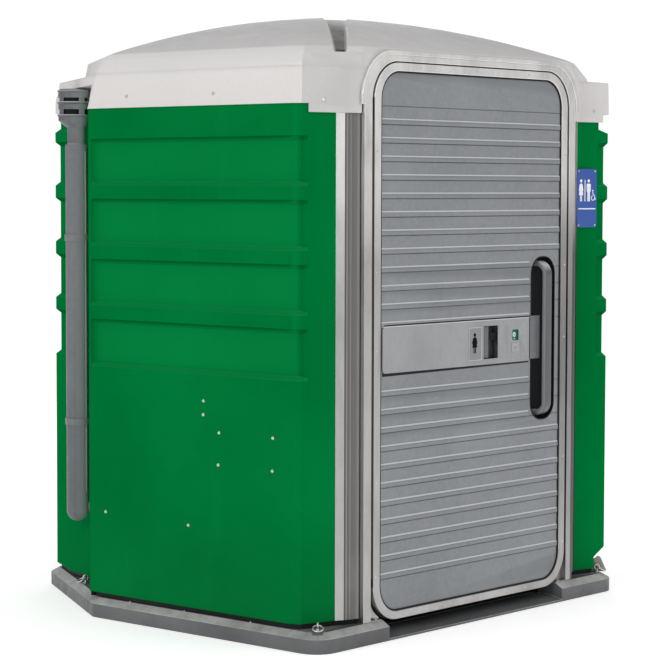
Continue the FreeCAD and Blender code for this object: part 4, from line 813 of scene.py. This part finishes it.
def woman(cx_, foot, k, w=1.0, head=8.2):
    """Plain standing figure in a dress: head, dress with two arms, two legs. k scales a 100 mm tall figure."""
    def at(pts):
        return [(cx_ + a * k * w, foot + b * k) for a, b in pts]
    return [disc(cx_, foot + 91 * k, head * k),
            at([(-7, 79), (7, 79), (12, 74), (18, 48), (14, 46.5), (9.5, 62), (17, 28), (-17, 28), (-9.5, 62), (-14, 46.5), (-18, 48), (-12, 74)]),
            at([(-8, 28.5), (-8, 0), (-2, 0), (-2, 28.5)]), at([(2, 28.5), (2, 0), (8, 0), (8, 28.5)])]


def man(cx_, foot, k, w=1.0, head=8.2):
    def at(pts):
        return [(cx_ + a * k * w, foot + b * k) for a, b in pts]
    return [disc(cx_, foot + 91 * k, head * k),
            at([(-13, 79), (13, 79), (17, 75), (17, 44), (12.5, 44), (12, 66), (10.5, 66), (10.5, 38), (-10.5, 38), (-10.5, 66), (-12, 66), (-12.5, 44), (-17, 44), (-17, 75)]),
            at([(-10.5, 38.5), (-10, 0), (-1.2, 0), (-0.8, 38.5)]), at([(0.8, 38.5), (1.2, 0), (10, 0), (10.5, 38.5)])]


MATS["print_white"] = moulded_grey("print_white", srgb(222, 224, 228), srgb(236, 238, 240), srgb(246, 246, 247), rough=(0.4, 0.55), grain=700, grain_d=0.00003)
# light colour for the pipe's seam: painted highlight
MATS["seam_painted_highlight"] = moulded_grey("seam_painted_highlight", srgb(138, 134, 134), srgb(150, 145, 145), srgb(164, 158, 158), rough=(0.4, 0.55), grain=700, grain_d=0.00003)
MATS["gusset"] = moulded_grey("gusset_steel", srgb(96, 94, 84), srgb(118, 116, 104), srgb(140, 137, 124), rough=(0.4, 0.6), edge=srgb(200, 198, 190), edge_amt=0.8)
MATS["print_black"] = moulded_grey("print_black", srgb(8, 9, 9), srgb(14, 15, 15), srgb(24, 26, 26), rough=(0.5, 0.65), grain=700, grain_d=0.00003, edge=srgb(40, 42, 42), spec=0.02)
MATS["plate_light"] = moulded_grey("plate_light", srgb(178, 180, 181), srgb(192, 194, 195), srgb(206, 208, 208), rough=(0.34, 0.48), grain=700, grain_d=0.00005)

sl, sr_ = V((0.7215, -0.8375, 1.474)), V((0.827, -0.858, 1.474))
su = (sr_ - sl).normalized()
sn_ = V((su.y, -su.x, 0))
origin = sl + sn_ * 0.00255
sign = woman(21.0, 104, 0.90, 0.76, 7.0) + man(63.0, 104, 0.90, 0.76, 7.0)
sign += [[(40.2, 104), (44.4, 104), (44.4, 190), (40.2, 190)], [(7, 72.5), (101, 72.5), (101, 77.0), (7, 77.0)]]
sign += [disc(86.0, 147.5, 3.2, cnt=18), [(84.3, 144), (87.8, 144), (88.6, 131), (85.0, 131)],
         [(85.0, 133), (95.4, 131.5), (95.4, 128.5), (85.0, 129.5)], [(93.0, 130.6), (95.6, 130.6), (101.2, 112.6), (98.4, 111.6)],
         [(98.2, 111.8), (103.0, 114.6), (103.8, 112.2), (98.8, 109.4)]]
sign += ring_loops(87.0, 117.5, 10.6, 7.2, 100, 385, 30)
raised("sign_figures", sign, origin, su, sn_, 0.0005, MATS["print_white"], "cabin")

lx = V((1, 0, 0))
front = V((0, -1, 0))
raised("label_figure", woman(4.6, 1010, 0.75, 1.22, 9.6), V((0, -0.87905, 0)), lx, front, 0.0005, MATS["print_black"], "door")
raised("label_border", frame_loops(-32, 982, 48, 1107, 2.2), V((0, -0.87905, 0)), lx, front, 0.0006, MATS["plate_light"], "door")
marks = frame_loops(196, 992, 330, 1104, 1.6)
marks += [[(x_, 996), (x_ + 1.4, 996), (x_ + 1.4, 1100), (x_, 1100)] for x_ in (204, 212, 296, 306, 316)]
marks += [[(243, 1041), (283, 1041), (283, 1043.4), (243, 1043.4)], [(252, 998), (292, 998), (292, 1000.4), (252, 1000.4)],
          [(290, 1050), (304, 1050), (304, 1052), (290, 1052)]]
raised("plate_relief", marks, V((0, -0.87805, 0)), lx, front, 0.0006, MATS["plate_grey"], "door")
ring_ = ring_loops(262.0, 1068.5, 9.0, 5.2) + ring_loops(262.0, 1068.5, 2.2, 0.2, cnt=14)
ring_ += [[(257, 1052), (262, 1050.2), (269, 1052), (266, 1054.5)]]
raised("indicator_ring", ring_, V((0, -0.87252, 0)), lx, front, 0.0003, MATS["print_white"], "latch")


# painted highlight along the lock plate's top edge, and dark strips along its top and bottom edges as painted shade
raised("plate_top_painted_highlight", [[(-536, 1129.6), (350, 1129.6), (350, 1132.6), (-536, 1132.6)]], V((0, -0.87805, 0)), lx, front, 0.0004,
       MATS["plate_light"], "door")

# dark strips as painted shade under and over the lock plate, thicker at its left end below
bm = bmesh.new()
for z_a, z_b, z_c, z_d in ((963.0, 952.2, 963.0, 957.4), (1133.2, 1137.6, 1133.2, 1136.2)):
    quad = [(-537, z_a), (-537, z_b), (350, z_d), (350, z_c)]
    prism(bm, [(a / 1000, b / 1000) for a, b in (quad if z_b < z_a else [quad[0], quad[3], quad[2], quad[1]])],
          V((0, -0.8758, 0)), lx, front, 0.0009)
bmesh.ops.recalc_face_normals(bm, faces=bm.faces)
mesh_piece("plate_painted_shadow", bm, MATS["black_plastic"], "door")

# vent: a dark ribbed sleeve inside the cap as painted shade behind the slots, bands round it, and a light seam down the
# pipe as painted highlight
vx, vy, PIPE_R = -721.3, 542.1, 43.5
bm = bmesh.new()
cnt = 96
rings = []
for z_ in (1893.0, 1920.0, 1950.0, 1980.0, 2006.0):
    rings.append([bm.verts.new(((vx + (49.0 + 1.0 * (k % 2)) * math.cos(2 * math.pi * k / cnt)) / 1000,
                                (vy + (49.0 + 1.0 * (k % 2)) * math.sin(2 * math.pi * k / cnt)) / 1000, z_ / 1000)) for k in range(cnt)])
for a_, b_ in zip(rings, rings[1:]):
    for k in range(cnt):
        bm.faces.new((a_[k], a_[(k + 1) % cnt], b_[(k + 1) % cnt], b_[k]))
mesh_piece("vent_painted_shade_sleeve", bm, MATS["black_plastic"], "cabin")


def band(bm, x_, y_, z_, r_, sect, cnt=72, a0=0.0, a1=360.0):
    """A band round an upright axis; sect lists (radial, height) corners outside radius r_."""
    closed = a1 - a0 >= 360.0
    steps = cnt if closed else cnt + 1
    loops = []
    for k in range(steps):
        t = math.radians(a0 + (a1 - a0) * k / cnt)
        loops.append([bm.verts.new(((x_ + (r_ + dr) * math.cos(t)) / 1000, (y_ + (r_ + dr) * math.sin(t)) / 1000, (z_ + dz) / 1000))
                      for dr, dz in sect])
    n_ = len(sect)
    for k in range(steps if closed else steps - 1):
        A, B = loops[k], loops[(k + 1) % steps]
        for i in range(n_):
            j = (i + 1) % n_
            bm.faces.new((A[i], B[i], B[j], A[j]))
    if not closed:
        bm.faces.new(loops[0])
        bm.faces.new(list(reversed(loops[-1])))


bm = bmesh.new()
lip = [(-1.0, -4.0), (2.2, -4.0), (3.4, -2.4), (3.4, 1.6), (1.6, 4.0), (-1.0, 4.0)]
for z_ in (2003.0, 1958.5, 1908.0):
    band(bm, vx, vy, z_, 58.0, lip)
bmesh.ops.recalc_face_normals(bm, faces=bm.faces)
mesh_piece("vent_bands", bm, MATS["vent_grey"], "cabin")

# a raised seam down the pipe, coloured light as a painted highlight
bm = bmesh.new()
seam = math.degrees(math.atan2(-0.985, 0.175))
zs = [430.0 + 20.0 * k for k in range(68)]
loops = []
for z_ in zs:
    wob = 0.35 * math.sin(z_ * 0.013) + 0.2 * math.sin(z_ * 0.041)
    loops.append([])
    for da, dr in ((-7.0, -1.5), (-6.0, 1.2 + wob * 0.4), (-3.5, 2.6 + wob), (0.0, 3.0 + wob), (3.5, 2.6 + wob), (6.0, 1.2), (7.0, -1.5)):
        t = math.radians(seam + da)
        loops[-1].append(bm.verts.new(((-718.35 + (PIPE_R + dr) * math.cos(t)) / 1000, (528.26 + (PIPE_R + dr) * math.sin(t)) / 1000, z_ / 1000)))
for A, B in zip(loops, loops[1:]):
    for i in range(len(A)):
        j = (i + 1) % len(A)
        bm.faces.new((A[i], A[j], B[j], B[i]))
bm.faces.new(list(reversed(loops[0])))
bm.faces.new(loops[-1])
bmesh.ops.recalc_face_normals(bm, faces=bm.faces)
mesh_piece("vent_seam", bm, MATS["seam_painted_highlight"], "cabin", smooth=True)

# gusset plate behind the tie-down eye of the right front corner
bm = bmesh.new()
gu = V((0.655, -0.7556, 0))
gn = V((-0.7556, -0.655, 0))
prism(bm, [(a / 1000, b / 1000) for a, b in [(-38, 72.2), (40, 72.2), (40, 78), (19, 126), (13, 133), (4, 133), (-38, 100)]],
      V((0.8595, -0.8567, 0)) - gn * 0.027, gu, gn, 0.003)
prism(bm, [(a / 1000, b / 1000) for a, b in [(-36, 72.2), (38, 72.2), (38, 74.8), (-36, 74.8)]],
      V((0.8595, -0.8567, 0)) - gn * 0.024, gu, gn, 0.012)
bmesh.ops.recalc_face_normals(bm, faces=bm.faces)
mesh_piece("corner_gusset", bm, MATS["gusset"], "cabin")


# ------------------------------------------------------------------ stage
def make_stage():
    me = bpy.data.meshes.new("stage_floor")
    bm = bmesh.new()
    bmesh.ops.create_grid(bm, x_segments=1, y_segments=1, size=45.0)
    bm.to_mesh(me)
    bm.free()
    o = bpy.data.objects.new("stage_floor", me)
    o.location = (0, 0, -0.0005)
    scene.collection.objects.link(o)
    m = Mat("stage_white")
    m.color(m.ramp(m.noise(3, 2, 0.5), [(0.0, srgb(246, 246, 246)), (1.0, srgb(250, 250, 250))]))
    m.set(Roughness=0.9, Specular_IOR_Level=0.1, Emission_Strength=0.36)
    m.p.inputs["Emission Color"].default_value = (1.0, 1.0, 1.0, 1.0)
    me.materials.append(m.m)


make_stage()


def area(name, loc, target, size, power, color=(1, 1, 1)):
    d_ = bpy.data.lights.new(name, "AREA")
    d_.shape = "RECTANGLE"
    d_.size, d_.size_y = size
    d_.energy = power
    d_.color = color
    o = bpy.data.objects.new(name, d_)
    scene.collection.objects.link(o)
    o.location = loc
    o.rotation_mode = "QUATERNION"
    o.rotation_quaternion = (V(target) - V(loc)).to_track_quat("-Z", "Y")
    return o


area("key", (-8.5, -1.8, 4.4), (-0.3, -0.3, 1.1), (3.5, 3.5), 150)
area("fill", (1.5, -8.0, 4.4), (0.1, -0.5, 1.3), (4.0, 3.0), 62)
area("top", (0.0, 0.0, 6.0), (0, 0, 0), (5.0, 5.0), 14)
area("back", (5.5, 5.5, 3.5), (0, 0, 1.1), (4.0, 3.0), 60)

world = bpy.data.worlds.new("studio")
scene.world = world
world.use_nodes = True
wt = world.node_tree
bg = wt.nodes["Background"]
wc = wt.nodes.new("ShaderNodeTexCoord")
ws = wt.nodes.new("ShaderNodeSeparateXYZ")
wt.links.new(wc.outputs["Generated"], ws.inputs[0])
wr = wt.nodes.new("ShaderNodeMapRange")
wt.links.new(ws.outputs[2], wr.inputs[0])
for i_, v_ in zip((1, 2, 3, 4), (-0.25, 0.8, 0.25, 0.85)):
    wr.inputs[i_].default_value = v_
bg.inputs[0].default_value = (1.0, 1.0, 1.0, 1.0)
wt.links.new(wr.outputs[0], bg.inputs[1])
paper = wt.nodes.new("ShaderNodeBackground")
paper.inputs[0].default_value = (1.0, 1.0, 1.0, 1.0)
paper.inputs[1].default_value = 1.05
pick = wt.nodes.new("ShaderNodeMixShader")
lp = wt.nodes.new("ShaderNodeLightPath")
wt.links.new(lp.outputs["Is Camera Ray"], pick.inputs[0])
wt.links.new(bg.outputs[0], pick.inputs[1])
wt.links.new(paper.outputs[0], pick.inputs[2])
wt.links.new(pick.outputs[0], wt.nodes["World Output"].inputs[0])

scene.view_settings.view_transform = "Standard"
scene.view_settings.look = "None"
scene.view_settings.exposure = 0.0
scene.view_settings.gamma = 1.0
